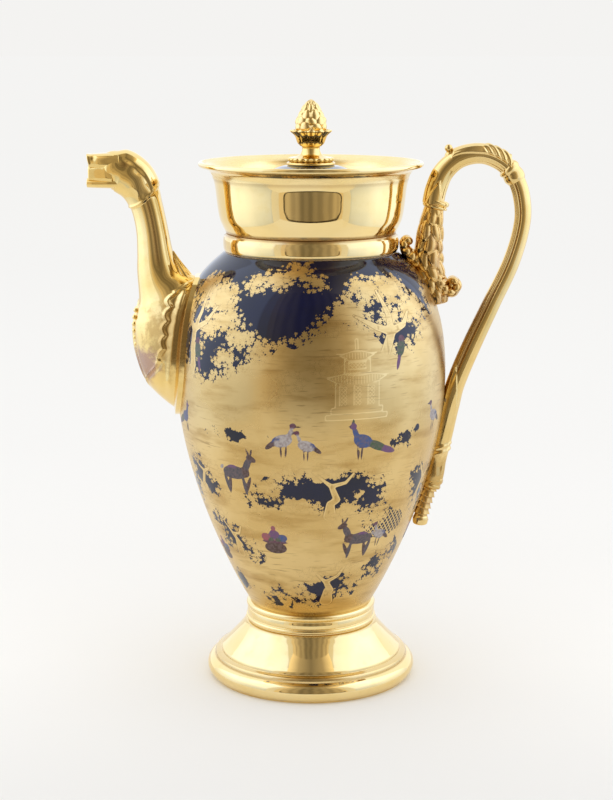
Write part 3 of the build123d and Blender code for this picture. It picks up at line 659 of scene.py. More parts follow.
# %% Trunks and boughs
TREES = [
    (31, 141, [(28, 160), (36, 178)], [(19, 186), (48, 186), (33, 196)], 3.4),
    (-61, 145, [(-58, 160), (-60, 176)], [(-70, 184), (-47, 188), (-58, 196)], 2.8),
    (9, 92, [(12, 101), (9, 108)], [(1, 115), (19, 114)], 1.9),
    (-60, 94, [(-62, 102), (-58, 109)], [(-68, 115), (-52, 116)], 1.5),
    (66, 84, [(63, 95), (66, 104)], [(58, 114), (74, 114)], 1.6),
    (-46, 68, [(-44, 74), (-48, 79)], [(-54, 86), (-40, 84)], 1.5),
    (12, 45, [(14, 52), (10, 57)], [(2, 63), (22, 66)], 2.0),
    (82, 152, [(86, 168), (82, 182)], [(74, 190), (96, 188)], 2.6),
    (-106, 150, [(-102, 166), (-108, 182)], [(-118, 190), (-96, 190)], 3.0),
    (-152, 154, [(-156, 170), (-150, 184)], [(-140, 192), (-164, 190)], 2.8),
    (146, 148, [(142, 166), (148, 180)], [(136, 190), (160, 188)], 3.0),
    (116, 92, [(118, 102), (114, 108)], [(106, 115), (126, 114)], 1.7),
    (-112, 93, [(-110, 103), (-114, 110)], [(-122, 116), (-102, 117)], 1.7),
    (172, 97, [(170, 106), (174, 112)], [(164, 119), (182, 119)], 1.7),
    (-150, 94, [(-152, 104), (-148, 110)], [(-158, 117), (-142, 117)], 1.6),
]
trunks = np.full(len(turn), NOWHERE)
for foot_turn, foot_height, bends, tips, half in TREES:
    stem = [(foot_turn, foot_height + 1, half * 1.6), (foot_turn, foot_height + 7, half)]
    stem += [(t, h, half * (0.85 - 0.2 * k)) for k, (t, h) in enumerate(bends)]
    trunks = union(trunks, limb(*stem))
    for tip_turn, tip_height in tips:
        middle = ((bends[-1][0] + tip_turn) / 2 + 1.5, (bends[-1][1] + tip_height) / 2 - 1.5)
        bough = limb((*bends[-1], half * 0.6), (*middle, half * 0.42), (tip_turn, tip_height, 0.5))
        trunks = union(trunks, bough)
print("trees:", len(TREES))

# %% Leaf clumps and tufts
CLUMPS = [
    (17, 187, 9, 7), (29, 197, 10, 5.5), (42, 196, 9, 6), (52, 187, 8, 6), (8, 181, 6, 4.5),
    (38, 184, 6, 4), (58, 179, 6, 4), (-71, 184, 8, 6.5), (-60, 195, 9, 6), (-46, 192, 9, 6.5),
    (-40, 183, 8, 5.5), (-74, 173, 6, 5), (-49, 178, 5, 4), (-31, 176, 6, 4.5), (-56, 168, 4, 3),
    (-38, 166, 5, 4), (-22, 172, 5, 3.5), (-18, 201, 8, 4), (-8, 204, 7, 3.5), (-28, 199, 6, 3.2),
    (2, 200, 5, 3), (-8, 158, 7, 5), (6, 164, 8, 5), (16, 155, 6, 4.5), (-16, 149, 6, 4.5),
    (70, 163, 7, 6), (60, 152, 6, 5), (-34, 141, 5, 3.5), (-21, 107, 7, 5), (-9, 115, 9, 4),
    (6, 116, 8, 3.6), (19, 118, 8, 4), (33, 113, 7, 5), (42, 101, 6, 6), (32, 91, 7, 4.5),
    (17, 93, 6, 3.5), (-7, 97, 8, 3.6), (-25, 92, 6, 4), (0, 96, 5, 3), (-74, 108, 6, 6),
    (-65, 118, 7, 4), (-50, 111, 6, 5), (-46, 99, 5, 4), (-64, 96, 6, 3.5), (-80, 92, 6, 5),
    (56, 115, 6, 4.5), (72, 113, 7, 5), (52, 98, 5, 6), (60, 91, 5, 4), (78, 98, 6, 6), (-53, 89, 6, 4),
    (-37, 81, 6, 4), (-31, 74, 5, 4), (-50, 71, 5, 3), (-62, 78, 5, 5), (0, 62, 7, 4), (21, 66, 8, 4),
    (31, 58, 5, 5), (-9, 52, 4, 4), (48, 71, 7, 4), (56, 62, 5, 4), (-25, 55, 5, 3), (75, 190, 8, 6),
    (93, 191, 9, 6), (84, 199, 9, 5), (102, 181, 6, 5), (-119, 191, 9, 6), (-97, 191, 8, 6),
    (-108, 200, 9, 5), (-88, 183, 6, 5), (-126, 180, 6, 5), (-140, 193, 8, 6), (-165, 191, 8, 6),
    (-152, 201, 9, 5), (-172, 180, 6, 5), (136, 190, 8, 6), (160, 190, 8, 6), (148, 199, 9, 5),
    (124, 180, 6, 5), (170, 181, 6, 5), (106, 117, 7, 4.5), (127, 116, 7, 4.5), (-123, 118, 7, 4.5),
    (-101, 119, 7, 4.5), (164, 120, 7, 4.5), (-177, 119, 7, 4.5), (-158, 118, 7, 4.5),
    (-142, 119, 7, 4.5), (104, 95, 7, 4), (-92, 79, 7, 4), (-132, 82, 7, 4), (150, 87, 8, 4),
    (-172, 74, 7, 4), (130, 59, 6, 4), (-112, 59, 6, 4), (-116, 148, 6, 4), (128, 160, 6, 4),
    (-142, 162, 6, 4), (168, 146, 6, 4),
]
TUFTS = 64
leaves = np.full(len(turn), NOWHERE)
for place in CLUMPS:
    leaves = union(leaves, clump(*place))
for k in range(TUFTS):
    tuft_turn = -180 + 360 * (k + random.uniform(-0.3, 0.3)) / TUFTS
    tuft_height = float(np.interp(tuft_turn, line_turns, line_heights)) + random.uniform(-0.5, 1.5)
    tuft = pad(tuft_turn, tuft_height, random.uniform(2.0, 4.4), random.uniform(1.6, 3.4))
    leaves = union(leaves, tuft)
print("leaf clumps:", len(CLUMPS), "tufts:", TUFTS)

# %% [markdown]
# ### Footbridge, grasses and trellis
# These are strokes of the brush: an arched deck with a rail and posts, fans of grass blades
# that lean with the wind, and a few twigs high up. The trellis is only an area here; the
# finish fills it with crossing bars.

# %% Footbridge
BRIDGE_STEPS, BRIDGE_TURN, BRIDGE_SPAN, BRIDGE_HEIGHT, BRIDGE_RISE = 10, -48, 21, 131.5, 7.5
RAIL_HEIGHT, POST_HEIGHT = 5.0, 6.0
deck = []
for k in range(BRIDGE_STEPS + 1):
    share = k / BRIDGE_STEPS
    rise = BRIDGE_HEIGHT + BRIDGE_RISE * math.sin(math.pi * share)
    deck.append((BRIDGE_TURN + BRIDGE_SPAN * share, rise, 1.0))
works = limb(*deck)
works = union(works, limb(*[(t, h + RAIL_HEIGHT, 0.42) for t, h, _ in deck]))
for t, h, _ in deck[::2]:
    works = union(works, limb((t, h, 0.4), (t, h + POST_HEIGHT, 0.4)))
print("the bridge spans", BRIDGE_SPAN, "degrees of the turn")

# %% Grasses, twigs and a trellis
GRASSES = (
    (-20, 43, 9, 7), (-4, 44, -6, 6), (26, 45, 8, 7), (44, 53, -5, 6), (-38, 62, 6, 6), (66, 78, 7, 6),
    (-64, 88, 6, 6), (96, 49, 6, 7), (-108, 45, 7, 7), (150, 66, 6, 7), (-136, 64, 7, 7), (178, 45, 6, 7),
)
TWIGS = ((-18, 201), (-8, 204), (-28, 199))
TRELLIS_TURN, TRELLIS_HEIGHT, TRELLIS_HALF_WIDE, TRELLIS_HALF_TALL = 42, 86, 13, 6.5
for at_turn, at_height, lean, count in GRASSES:
    for k in range(count):
        spread_by = (k - (count - 1) / 2) / count
        works = union(works, limb(
            (at_turn + spread_by * 5, at_height, 0.6),
            (at_turn + spread_by * 12, at_height + 5.5, 0.5),
            (at_turn + spread_by * 24 + lean * 0.2, at_height + 9 - abs(spread_by) * 8, 0.25),
        ))
for t, h in TWIGS:
    works = union(works, limb((t + 8, h + 4, 0.8), (t, h, 0.5), (t - 6, h - 3, 0.3)))
level = TRELLIS_HALF_TALL - np.abs(spots[:, 2] - TRELLIS_HEIGHT)
trellis = np.minimum(pad(TRELLIS_TURN, TRELLIS_HEIGHT, TRELLIS_HALF_WIDE, 9), level)
print("grass fans:", len(GRASSES), "twigs:", len(TWIGS))

# %% [markdown]
# ### Pavilion
# A small garden building in two storeys is engraved into the gold with a needle, not painted.
# Blocks give its walls, lifted eaves its roofs, and inner blocks the panes, whose edges are cut
# out of the wall so that the needle runs round each of them.

# %% Pavilion
def slab(at_turn, at_height, half_wide, half_tall, lean=0.0):
    """Depth inside an upright block whose sides lean in towards the top."""
    across, up = away(at_turn, at_height)
    return np.minimum(half_wide - lean * up - np.abs(across), half_tall - np.abs(up))


def roof(at_turn, at_height, half_wide, half_tall, lean, sweep):
    """Depth inside a roof whose eaves curl up at both ends."""
    across, up = away(at_turn, at_height)
    up = up - sweep * across**2
    return np.minimum(half_wide - lean * (up + half_tall) - np.abs(across), half_tall - np.abs(up)) * 0.75


PAVILION_TURN, PANE_STEP, PANE_LINE = 19, 6.0, 0.05
ROOFS = ((157.6, 15.5, 2.3, 1.9, 0.018), (168.6, 9.5, 2.0, 1.8, 0.035))
WALLS = ((141, 15, 1.2), (144, 12.5, 1.4), (150.5, 10.5, 6.4), (164, 6.2, 3.0))
roofs = union(*[roof(PAVILION_TURN, *sizes) for sizes in ROOFS])
walls = union(*[slab(PAVILION_TURN, *sizes) for sizes in WALLS])
lower_panes = [slab(PAVILION_TURN + k * PANE_STEP, 150.8, 1.9, 4.6) for k in (-1, 0, 1)]
panes = union(*lower_panes, slab(PAVILION_TURN, 164.2, 4.2, 1.5))
pavilion = union(walls, roofs, slab(PAVILION_TURN, 173.6, 0.7, 2.6))
pavilion = np.minimum(pavilion, np.abs(panes) - PANE_LINE)
print("points inside the pavilion:", int((pavilion > 0).sum()))

# %% [markdown]
# ### Enamel accents
# Small birds, deer and flower baskets are painted in coloured enamels on the gold. Each is a
# few ovals; the oval that lies deepest at a point gives the colour there.

# %% Enamel colours and creatures
VIOLET, PLUM = (0.13, 0.045, 0.16), (0.10, 0.02, 0.05)
GREEN, BLUE = (0.035, 0.085, 0.03), (0.025, 0.07, 0.22)
UMBER, GREY = (0.055, 0.022, 0.012), (0.055, 0.05, 0.06)
ROSE, CREAM = (0.33, 0.07, 0.09), (0.42, 0.38, 0.36)
CRANE = [
    (0, 6.4, 3.9, 2.4, 16, CREAM), (-1.2, 6.8, 3.0, 1.5, 22, BLUE), (-4.4, 4.6, 2.8, 1.0, 38, UMBER),
    (2.9, 9.3, 0.8, 2.8, -24, CREAM), (4.0, 12.2, 1.25, 1.1, 0, PLUM), (5.7, 12.0, 1.4, 0.45, -8, UMBER),
    (-0.6, 2.2, 0.42, 3.0, 4, UMBER), (1.2, 2.2, 0.42, 3.0, -6, UMBER),
]
PEACOCK = [
    (0, 6.0, 3.6, 2.3, 20, BLUE), (2.8, 8.8, 0.95, 2.6, -22, BLUE), (3.7, 11.3, 1.2, 1.1, 0, VIOLET),
    (4.9, 11.1, 0.9, 0.4, 0, UMBER), (-5.2, 4.0, 4.4, 1.5, 24, GREEN), (-9.0, 2.4, 4.2, 1.2, 20, VIOLET),
    (-0.5, 6.2, 2.2, 1.2, 24, GREEN), (0.3, 1.8, 0.42, 2.6, 0, UMBER), (1.6, 1.8, 0.42, 2.6, -6, UMBER),
    (3.8, 12.9, 0.5, 0.9, 0, GREEN),
]
DEER = [
    (0, 9.0, 5.6, 2.7, 2, GREY), (4.4, 9.6, 2.2, 2.2, 0, UMBER), (5.8, 12.6, 1.4, 3.2, -28, GREY),
    (7.8, 15.2, 2.2, 1.2, -24, UMBER), (6.6, 17.6, 0.45, 1.9, 18, UMBER),
    (8.0, 17.6, 0.45, 1.9, -16, UMBER), (-5.8, 10.6, 1.2, 0.7, 40, CREAM),
    (-4.4, 4.4, 0.85, 4.4, 10, GREY), (-3.0, 4.0, 0.75, 4.2, -12, UMBER), (3.8, 4.2, 0.75, 4.4, 6, GREY),
    (5.4, 4.6, 0.75, 4.0, -22, UMBER), (-0.6, 10.6, 2.8, 1.4, 0, VIOLET),
]
BASKET = [
    (0, 2.4, 4.0, 2.4, 0, UMBER), (0, 4.6, 4.8, 0.8, 0, PLUM), (-3.0, 6.4, 1.7, 1.6, 0, ROSE),
    (0.2, 7.6, 1.9, 1.8, 0, VIOLET), (3.0, 6.4, 1.7, 1.5, 0, BLUE), (-1.4, 5.6, 1.3, 1.1, 0, GREEN),
    (1.7, 5.5, 1.3, 1.1, 0, GREEN), (0.1, 10.0, 0.9, 1.0, 0, ROSE),
]
PARROT = [
    (0, 3.4, 1.9, 3.2, -18, GREEN), (0.8, 6.7, 1.5, 1.4, 0, PLUM), (2.2, 6.5, 0.8, 0.5, -20, UMBER),
    (-1.4, -1.2, 0.8, 3.4, -16, VIOLET), (-0.6, 3.2, 1.0, 2.3, -18, BLUE),
]
print("ovals in a deer:", len(DEER), "in a crane:", len(CRANE), "in a basket:", len(BASKET))

# %% Paint the creatures on the flank
ENLARGED, CREATURE_HEIGHT = 1.25, 7
PAINTED = [
    (CRANE, -12, 122, 1.0, 1), (CRANE, -2, 121, 0.85, -1), (PEACOCK, 22, 121, 1.1, -1),
    (DEER, -36, 101, 1.0, 1), (BASKET, -20, 72, 1.1, 1), (DEER, 27, 69, 0.95, -1),
    (CRANE, 40, 74, 0.8, -1), (PARROT, 40, 166, 1.0, 1), (PEACOCK, -68, 127, 0.9, 1),
    (PARROT, -55, 163, 1.0, -1), (CRANE, 64, 128, 0.9, -1), (BASKET, -66, 62, 0.9, 1),
    (BASKET, 78, 70, 1.0, 1), (DEER, 92, 124, 1.0, 1), (CRANE, 128, 128, 1.0, -1),
    (CRANE, 137, 127, 0.85, 1), (PEACOCK, -106, 127, 1.1, 1), (DEER, -168, 84, 1.0, -1),
    (BASKET, 116, 70, 1.1, 1), (PEACOCK, 176, 128, 1.0, 1), (DEER, -124, 126, 0.9, 1),
    (BASKET, -148, 62, 1.0, 1), (PARROT, -104, 168, 1.0, 1), (PARROT, 144, 166, 1.0, -1),
]
enamel = np.full(len(turn), NOWHERE)
enamel_colour = np.zeros((len(turn), 4))
enamel_colour[:, 3] = 1
for creature, at_turn, at_height, size, facing in PAINTED:
    size = size * ENLARGED
    per_mm = degrees_per_mm(at_height + CREATURE_HEIGHT * size)
    for x, y, wide, tall, tilt, colour in creature:
        oval_turn = at_turn + x * size * facing * per_mm
        depth = pad(oval_turn, at_height + y * size, wide * size, tall * size, tilt * facing)
        nearer = depth > enamel
        enamel_colour[nearer, :3] = colour
        enamel = np.maximum(enamel, depth)
print("painted creatures:", len(PAINTED))

# %% [markdown]
# ### Storing the drawing
# Each drawing becomes an attribute of the mesh: a number per vertex that the shader reads.
# A second map runs round and up the flank, for patterns such as the trellis bars.

# %% Store the drawing on the body mesh
banks = union(-sky, works)
DRAWINGS = {
    "leaf_depth": leaves, "bank_depth": banks, "trunk_depth": trunks, "trellis_depth": trellis,
    "engraved_depth": pavilion, "enamel_depth": enamel, "pane_depth": panes, "roof_depth": roofs,
}
for name, values in DRAWINGS.items():
    drawing = body_mesh.attributes.new(name, "FLOAT", "POINT")
    drawing.data.foreach_set("value", values.astype(np.float32))
colours = body_mesh.attributes.new("enamel_colour", "FLOAT_COLOR", "POINT")
colours.data.foreach_set("color", enamel_colour.astype(np.float32).ravel())
print("attributes stored:", len(DRAWINGS) + 1)

# %% A map round and up the flank
flank_map = body_mesh.uv_layers.new(name="flank_map")
corner_vertices = np.empty(len(body_mesh.loops), int)
body_mesh.loops.foreach_get("vertex_index", corner_vertices)
corner_turn = turn[corner_vertices].reshape(-1)
counts = np.empty(len(body_mesh.polygons), int)
body_mesh.polygons.foreach_get("loop_total", counts)
face_of = np.repeat(np.arange(len(counts)), counts)
highest = np.full(len(counts), -180.0)
np.maximum.at(highest, face_of, corner_turn)
crosses_back = (highest[face_of] > 170) & (corner_turn < -90)
wrapped = corner_turn + 360 * crosses_back
map_places = np.stack([wrapped / 360 + 0.5, run[corner_vertices] / flank_run[-1]], 1)
flank_map.data.foreach_set("uv", map_places.astype(np.float32).ravel())
print("face corners moved past the back:", int(crosses_back.sum()))

# %% The body as an object
body_piece = bpy.data.objects.new("body_painted", body_mesh)
bpy.context.scene.collection.objects.link(body_piece)
for polygon in body_mesh.polygons:
    polygon.use_smooth = True
body_mesh.set_sharp_from_angle(angle=math.radians(50))
gilt_share = float((union(leaves, banks, trunks)[reach > 29.5] > 0).mean())
print("triangles:", int((counts - 2).sum()), "share of the flank under gold:", round(gilt_share, 2))

# %% [markdown]
# ### The painted finish
# Three shaders are stacked: cobalt glaze, satin gold where a gilt shape's depth is above zero,
# and enamel on top. A cell pattern pushes the leaf edge out and in to make lobes, and thin
# brown lines tool the trunks and the ground, as an engraver's needle does.

# %% Start the painted finish
SATIN_GOLD, SATIN_LIGHT, SATIN_DEEP = (0.65, 0.445, 0.17, 1), (0.76, 0.56, 0.25, 1), (0.46, 0.28, 0.085, 1)
NEEDLE, CUT_GOLD = (0.24, 0.12, 0.035, 1), (0.93, 0.73, 0.36, 1)
FLANK_ROUND, FLANK_UP = 406.0, float(flank_run[-1])
painted, painted_output = new_finish("painted_flank")
place = object_place(painted)


def stored(name):
    """The value of a vertex attribute in the painted finish."""
    return add_node(painted, "ShaderNodeAttribute", attribute_name=name).outputs["Fac"]


def sum_of(operation, first, second=0.0, third=None):
    """One sum in the painted finish."""
    return math_node(painted, operation, first, second, third)


def deepest(*depths):
    """The highest of several values, so a point inside any shape counts as inside."""
    highest_yet = depths[0]
    for depth in depths[1:]:
        highest_yet = sum_of("MAXIMUM", highest_yet, depth)
    return highest_yet


def size_of(value):
    """A value without its sign."""
    return sum_of("ABSOLUTE", value)


def vector_sum(operation, first, second=None):
    """One sum on vectors, giving the vector result, or the value of a dot product."""
    node = add_node(painted, "ShaderNodeVectorMath", operation=operation)
    for socket, value in zip(node.inputs, (first, second)):
        if isinstance(value, bpy.types.NodeSocket):
            painted.node_tree.links.new(value, socket)
        elif value is not None:
            socket.default_value = value
    return node.outputs["Value" if operation == "DOT_PRODUCT" else "Vector"]


print("painted finish started, for a flank of", round(FLANK_UP), "mm")

# %% [markdown]
# ### Leaves as rosettes
# Foliage is dabbed on with a fine brush as small rosettes of rounded leaves. A cell pattern
# scatters their middles over the skin; round each middle the edge swings out and in with the
# angle, which makes the lobes. Angle and distance are measured on the skin itself, so that a
# rosette keeps its shape where the flank curves away.

# %% Rosettes of leaves
LEAF_SIZE, LEAF_REACH, LEAVES_EACH = 0.0031, 1.78, 3.5
TWIG_SHARE, TWIG_REACH_SHARE, TWIG_LEAVES, TWIG_SHIFT = 0.62, 0.66, 2.5, 0.0137
PER_METRE = 1000.0
skin = add_node(painted, "ShaderNodeNewGeometry").outputs["Normal"]
round_way = vector_sum("NORMALIZE", vector_sum("CROSS_PRODUCT", place, (0.0, 0.0, -1.0)))
up_way = vector_sum("CROSS_PRODUCT", skin, round_way)


def rosette(size, reach, lobes, seed_shift):
    """Signed depth, in millimetres, inside rosettes of rounded leaves scattered over the flank."""
    moved = vector_sum("ADD", place, (seed_shift, seed_shift, 0.0))
    cells = add_node(painted, "ShaderNodeTexVoronoi", [("Vector", moved)], Scale=1 / size, Randomness=0.85)
    offset = vector_sum("SUBTRACT", moved, cells.outputs["Position"])
    across = sum_of("MULTIPLY", vector_sum("DOT_PRODUCT", offset, round_way), PER_METRE)
    upward = sum_of("MULTIPLY", vector_sum("DOT_PRODUCT", offset, up_way), PER_METRE)
    chance = add_node(painted, "ShaderNodeSeparateXYZ", [("Vector", cells.outputs["Color"])]).outputs[0]
    spin = sum_of("MULTIPLY", chance, 6.0)
    angle = sum_of("ADD", sum_of("MULTIPLY", sum_of("ARCTAN2", upward, across), lobes), spin)
    petal = sum_of("POWER", size_of(sum_of("COSINE", angle)), 0.75)
    edge = sum_of("MULTIPLY_ADD", petal, reach * 0.56, reach * 0.44)
    gap = sum_of("SQRT", sum_of("ADD", sum_of("POWER", across, 2.0), sum_of("POWER", upward, 2.0)))
    return sum_of("SUBTRACT", edge, gap)


leaf_shape = rosette(LEAF_SIZE, LEAF_REACH, LEAVES_EACH, 0.0)
twig_shape = rosette(LEAF_SIZE * TWIG_SHARE, LEAF_REACH * TWIG_REACH_SHARE, TWIG_LEAVES, TWIG_SHIFT)
leaf_push = sum_of("MAXIMUM", sum_of("MINIMUM", leaf_shape, 1.1), -1.3)
twig_push = sum_of("MULTIPLY", sum_of("MAXIMUM", sum_of("MINIMUM", twig_shape, 0.7), -0.7), 0.6)
print("leaf rosettes are about", round(2 * LEAF_REACH, 1), "mm across")

# %% [markdown]
# ### Where the gold lies
# A point is gilded where any drawn shape has a depth above zero. The rosettes first push the
# edge of the foliage, and the edge of a bank where it is overgrown, so those edges turn into
# leaves. The trellis is gilded along two sets of slanting bars.

# %% The gilt edge
TRELLIS_STEP, BAR_HALF, GILT_BLUR = 3.1, 0.42, 0.07
LEAF_PUSH, BANK_PUSH = 2.1, 1.8


def crossed_bars(step):
    """How far a point lies from the nearer of two crossing sets of bars, as a share of their step."""
    ways = []
    for way in ("ADD", "SUBTRACT"):
        share = sum_of("FRACT", sum_of("DIVIDE", sum_of(way, round_mm, up_mm), step))
        ways.append(size_of(sum_of("SUBTRACT", share, 0.5)))
    return sum_of("MINIMUM", *ways)


map_place = add_node(painted, "ShaderNodeUVMap", uv_map="flank_map").outputs[0]
map_parts = add_node(painted, "ShaderNodeSeparateXYZ", [("Vector", map_place)]).outputs
round_mm = sum_of("MULTIPLY", map_parts[0], FLANK_ROUND)
up_mm = sum_of("MULTIPLY", map_parts[1], FLANK_UP)
leaf_edge = sum_of("ADD", stored("leaf_depth"), sum_of("MULTIPLY_ADD", leaf_push, LEAF_PUSH, twig_push))
overgrown = spread(painted, noise(painted, place, 75.0, 1.0), 0.42, 0.56, 0.12, 1.0)
bank_push = sum_of("MULTIPLY", sum_of("MULTIPLY_ADD", leaf_push, BANK_PUSH, twig_push), overgrown)
bank_edge = sum_of("ADD", stored("bank_depth"), bank_push)
trunk_edge = stored("trunk_depth")
bar_depth = sum_of("MULTIPLY_ADD", crossed_bars(TRELLIS_STEP), -TRELLIS_STEP, BAR_HALF)
trellis_edge = sum_of("MINIMUM", bar_depth, stored("trellis_depth"))
gilded = spread(painted, deepest(leaf_edge, bank_edge, trunk_edge, trellis_edge), -GILT_BLUR, GILT_BLUR)
print("the gilt edge is", 2 * GILT_BLUR, "mm soft")

# %% [markdown]
# ### The colour of satin gold
# Unpolished gold is a soft yellow that varies with the thickness of the coat. The painter has
# smudged a browner gold along the ground for shade, and rubbed the rims of the trunks paler.

# %% Satin gold with its smudges
tone = noise(painted, place, 30.0, 4.0)
satin_colour = blend_colours(painted, spread(painted, tone, 0.35, 0.66), SATIN_GOLD, SATIN_LIGHT)
smudge = noise(painted, stretched_place(painted, 40.0, 170.0), 1.0, 4.0, 0.55)
smudged = spread(painted, smudge, 0.46, 0.74, 0.0, 0.7)
satin_colour = blend_colours(painted, smudged, satin_colour, SATIN_DEEP)
near_sky = spread(painted, bank_edge, 5.0, 0.8)
trunk_rim = spread(painted, size_of(sum_of("SUBTRACT", trunk_edge, 0.35)), 0.34, 0.16)
satin_colour = blend_colours(painted, sum_of("MULTIPLY", trunk_rim, near_sky), satin_colour, SATIN_LIGHT)
engraved = stored("engraved_depth")
wall = spread(painted, engraved, -0.1, 0.5, 0.0, 0.35)
satin_colour = blend_colours(painted, wall, satin_colour, SATIN_LIGHT)
print("satin gold nodes so far:", len(painted.node_tree.nodes))

# %% [markdown]
# ### Needle and burnisher
# Details are drawn into the gold in two ways. A needle scratches through to the brown below:
# hatching on the ground, veins in the leaves, bark. A small burnisher draws bright lines: the
# pavilion's outline, the lattice in its panes and the tiles of its roofs.

# %% Bright lines on the pavilion
LATTICE_STEP, TILE_STEP = 1.7, 1.35
in_panes = spread(painted, stored("pane_depth"), 0.1, 0.4)
lattice = sum_of("MULTIPLY", spread(painted, crossed_bars(LATTICE_STEP), 0.16, 0.07), in_panes)
tile_share = sum_of("FRACT", sum_of("DIVIDE", round_mm, TILE_STEP))
tile_lines = spread(painted, size_of(sum_of("SUBTRACT", tile_share, 0.5)), 0.20, 0.08)
tiles = sum_of("MULTIPLY", tile_lines, spread(painted, stored("roof_depth"), 0.3, 0.6))
incised = spread(painted, size_of(engraved), 0.38, 0.12, 0.0, 0.75)
incised = deepest(incised, sum_of("MULTIPLY", deepest(lattice, tiles), 0.6))
satin_colour = blend_colours(painted, incised, satin_colour, CUT_GOLD)
print("lattice step:", LATTICE_STEP, "mm, tile step:", TILE_STEP, "mm")

# %% Brown needle lines
hatch = noise(painted, stretched_place(painted, 90.0, 1300.0), 1.0, 2.0)
hatched = sum_of("MULTIPLY", spread(painted, hatch, 0.60, 0.70), spread(painted, tone, 0.40, 0.58))
near_edge = sum_of("MULTIPLY", spread(painted, leaf_edge, 0.0, 0.25), spread(painted, leaf_edge, 3.6, 1.8))
leaf_vein = sum_of("MULTIPLY", spread(painted, size_of(leaf_shape), 0.20, 0.05), near_edge)
trunk_line = spread(painted, size_of(sum_of("ADD", trunk_edge, 0.12)), 0.24, 0.08, 0.0, 0.55)
bark = noise(painted, stretched_place(painted, 600.0, 70.0), 1.0, 3.0)
bark = sum_of("MULTIPLY", spread(painted, bark, 0.55, 0.70, 0.0, 0.4), spread(painted, trunk_edge, 0.4, 0.9))
needle = deepest(sum_of("MULTIPLY", hatched, 0.45), sum_of("MULTIPLY", leaf_vein, 0.35))
needle = deepest(needle, sum_of("MULTIPLY", deepest(trunk_line, bark), near_sky))
satin_colour = blend_colours(painted, needle, satin_colour, NEEDLE)
print("needle lines drawn on", painted.name)

# %% [markdown]
# ### Three layers on one surface
# Cobalt glaze lies at the bottom, satin gold over it and enamel on top, each with a shader of
# its own, and two mixes choose between them. Gold is a metal with a fine grain; glaze and
# enamel are glassy, and the enamel is dabbed, so its colour varies from stroke to stroke.

# %% Glaze, satin gold and enamel shaders
ENAMEL_SHADE = (0.16, 0.10, 0.10, 1)
grain = bumpy(painted, noise(painted, place, 260.0, 4.0), 0.10, 0.0004)
satin_gloss = spread(painted, tone, 0.3, 0.7, 0.25, 0.34)
satin = add_node(
    painted, "ShaderNodeBsdfPrincipled",
    [("Base Color", satin_colour), ("Roughness", satin_gloss), ("Normal", grain)], Metallic=1.0,
)
pooled_cobalt = blend_colours(painted, spread(painted, tone, 0.3, 0.7), COBALT, COBALT_LIGHT)
ripple = bumpy(painted, noise(painted, place, 70.0, 1.0), 0.06, 0.0005)
cobalt = add_node(
    painted, "ShaderNodeBsdfPrincipled",
    [("Base Color", pooled_cobalt), ("Normal", ripple)], Roughness=0.06, IOR=1.50,
)
enamel_tint = add_node(painted, "ShaderNodeAttribute", attribute_name="enamel_colour").outputs["Color"]
brushwork = spread(painted, noise(painted, place, 900.0, 3.0), 0.3, 0.7, 0.0, 0.6)
enamel_shader = add_node(
    painted, "ShaderNodeBsdfPrincipled",
    [("Base Color", blend_colours(painted, brushwork, enamel_tint, ENAMEL_SHADE))], Roughness=0.35,
)
print("layers:", cobalt.name, satin.name, enamel_shader.name)

# %% Stack the layers and dress the body
def layered(share, lower, upper):
    """One shader laid over another, as far as the share says."""
    wires = [(0, share), (1, lower.outputs[0]), (2, upper.outputs[0])]
    return add_node(painted, "ShaderNodeMixShader", wires)


enamelled = spread(painted, stored("enamel_depth"), -0.05, 0.12)
painted_all = layered(enamelled, layered(gilded, cobalt, satin), enamel_shader)
painted.node_tree.links.new(painted_all.outputs[0], painted_output.inputs[0])
body_mesh.materials.append(painted)
body_mesh.materials.append(white_glaze)
SKIN_DEPTH = 1.5
for polygon in body_mesh.polygons:
    middle = polygon.center / MM
    out = math.hypot(middle.x, middle.y)
    polygon.material_index = int(out < radius_at(middle.z) - SKIN_DEPTH)
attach(body_piece, "pot")
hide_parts("body")
print("painted finish nodes:", len(painted.node_tree.nodes))

# %% [markdown]
# ## Moulded pieces
# Spout, handle and finial came out of moulds, so they are long curved forms with low relief:
# leaves, flutes, beads. Each is a grid wrapped round a route, as clay is pressed round a core,
# and a relief function then raises or lowers every point a little along its own outward way.

# %% Helpers for carved relief
def step_up(value, low, high):
    """A smooth step from 0 to 1 as a value passes from low to high."""
    share = np.clip((value - low) / (high - low), 0, 1)
    return share * share * (3 - 2 * share)


def mound(value, centre, half):
    """A smooth mound of height 1 round a centre."""
    return np.exp(-(((value - centre) / half) ** 2))


def blob(x, y, z, centre, size):
    """A soft round spot of height 1, the same on both sides of the pot's plane."""
    return np.exp(-((x - centre[0]) ** 2 + (np.abs(y) - centre[1]) ** 2 + (z - centre[2]) ** 2) / size**2)


def scales(across, along):
    """Rounded pads in staggered rows, one per unit across and along, each steeper at its +along end."""
    height = np.zeros(np.broadcast(across, along).shape)
    for shift in (-1, 0, 1):
        row = np.floor(along) + shift
        beside = (across + 0.5 * (row % 2) + 0.5) % 1 - 0.5
        beyond = along - row - 0.5
        dome = 1 - (beside / 0.54) ** 2 - (beyond / 0.80) ** 2
        height = np.maximum(height, np.sqrt(np.maximum(dome, 0)) * (0.85 + 0.3 * beyond))
    return height


print("a step half way up is", float(step_up(0.5, 0, 1)), "high")

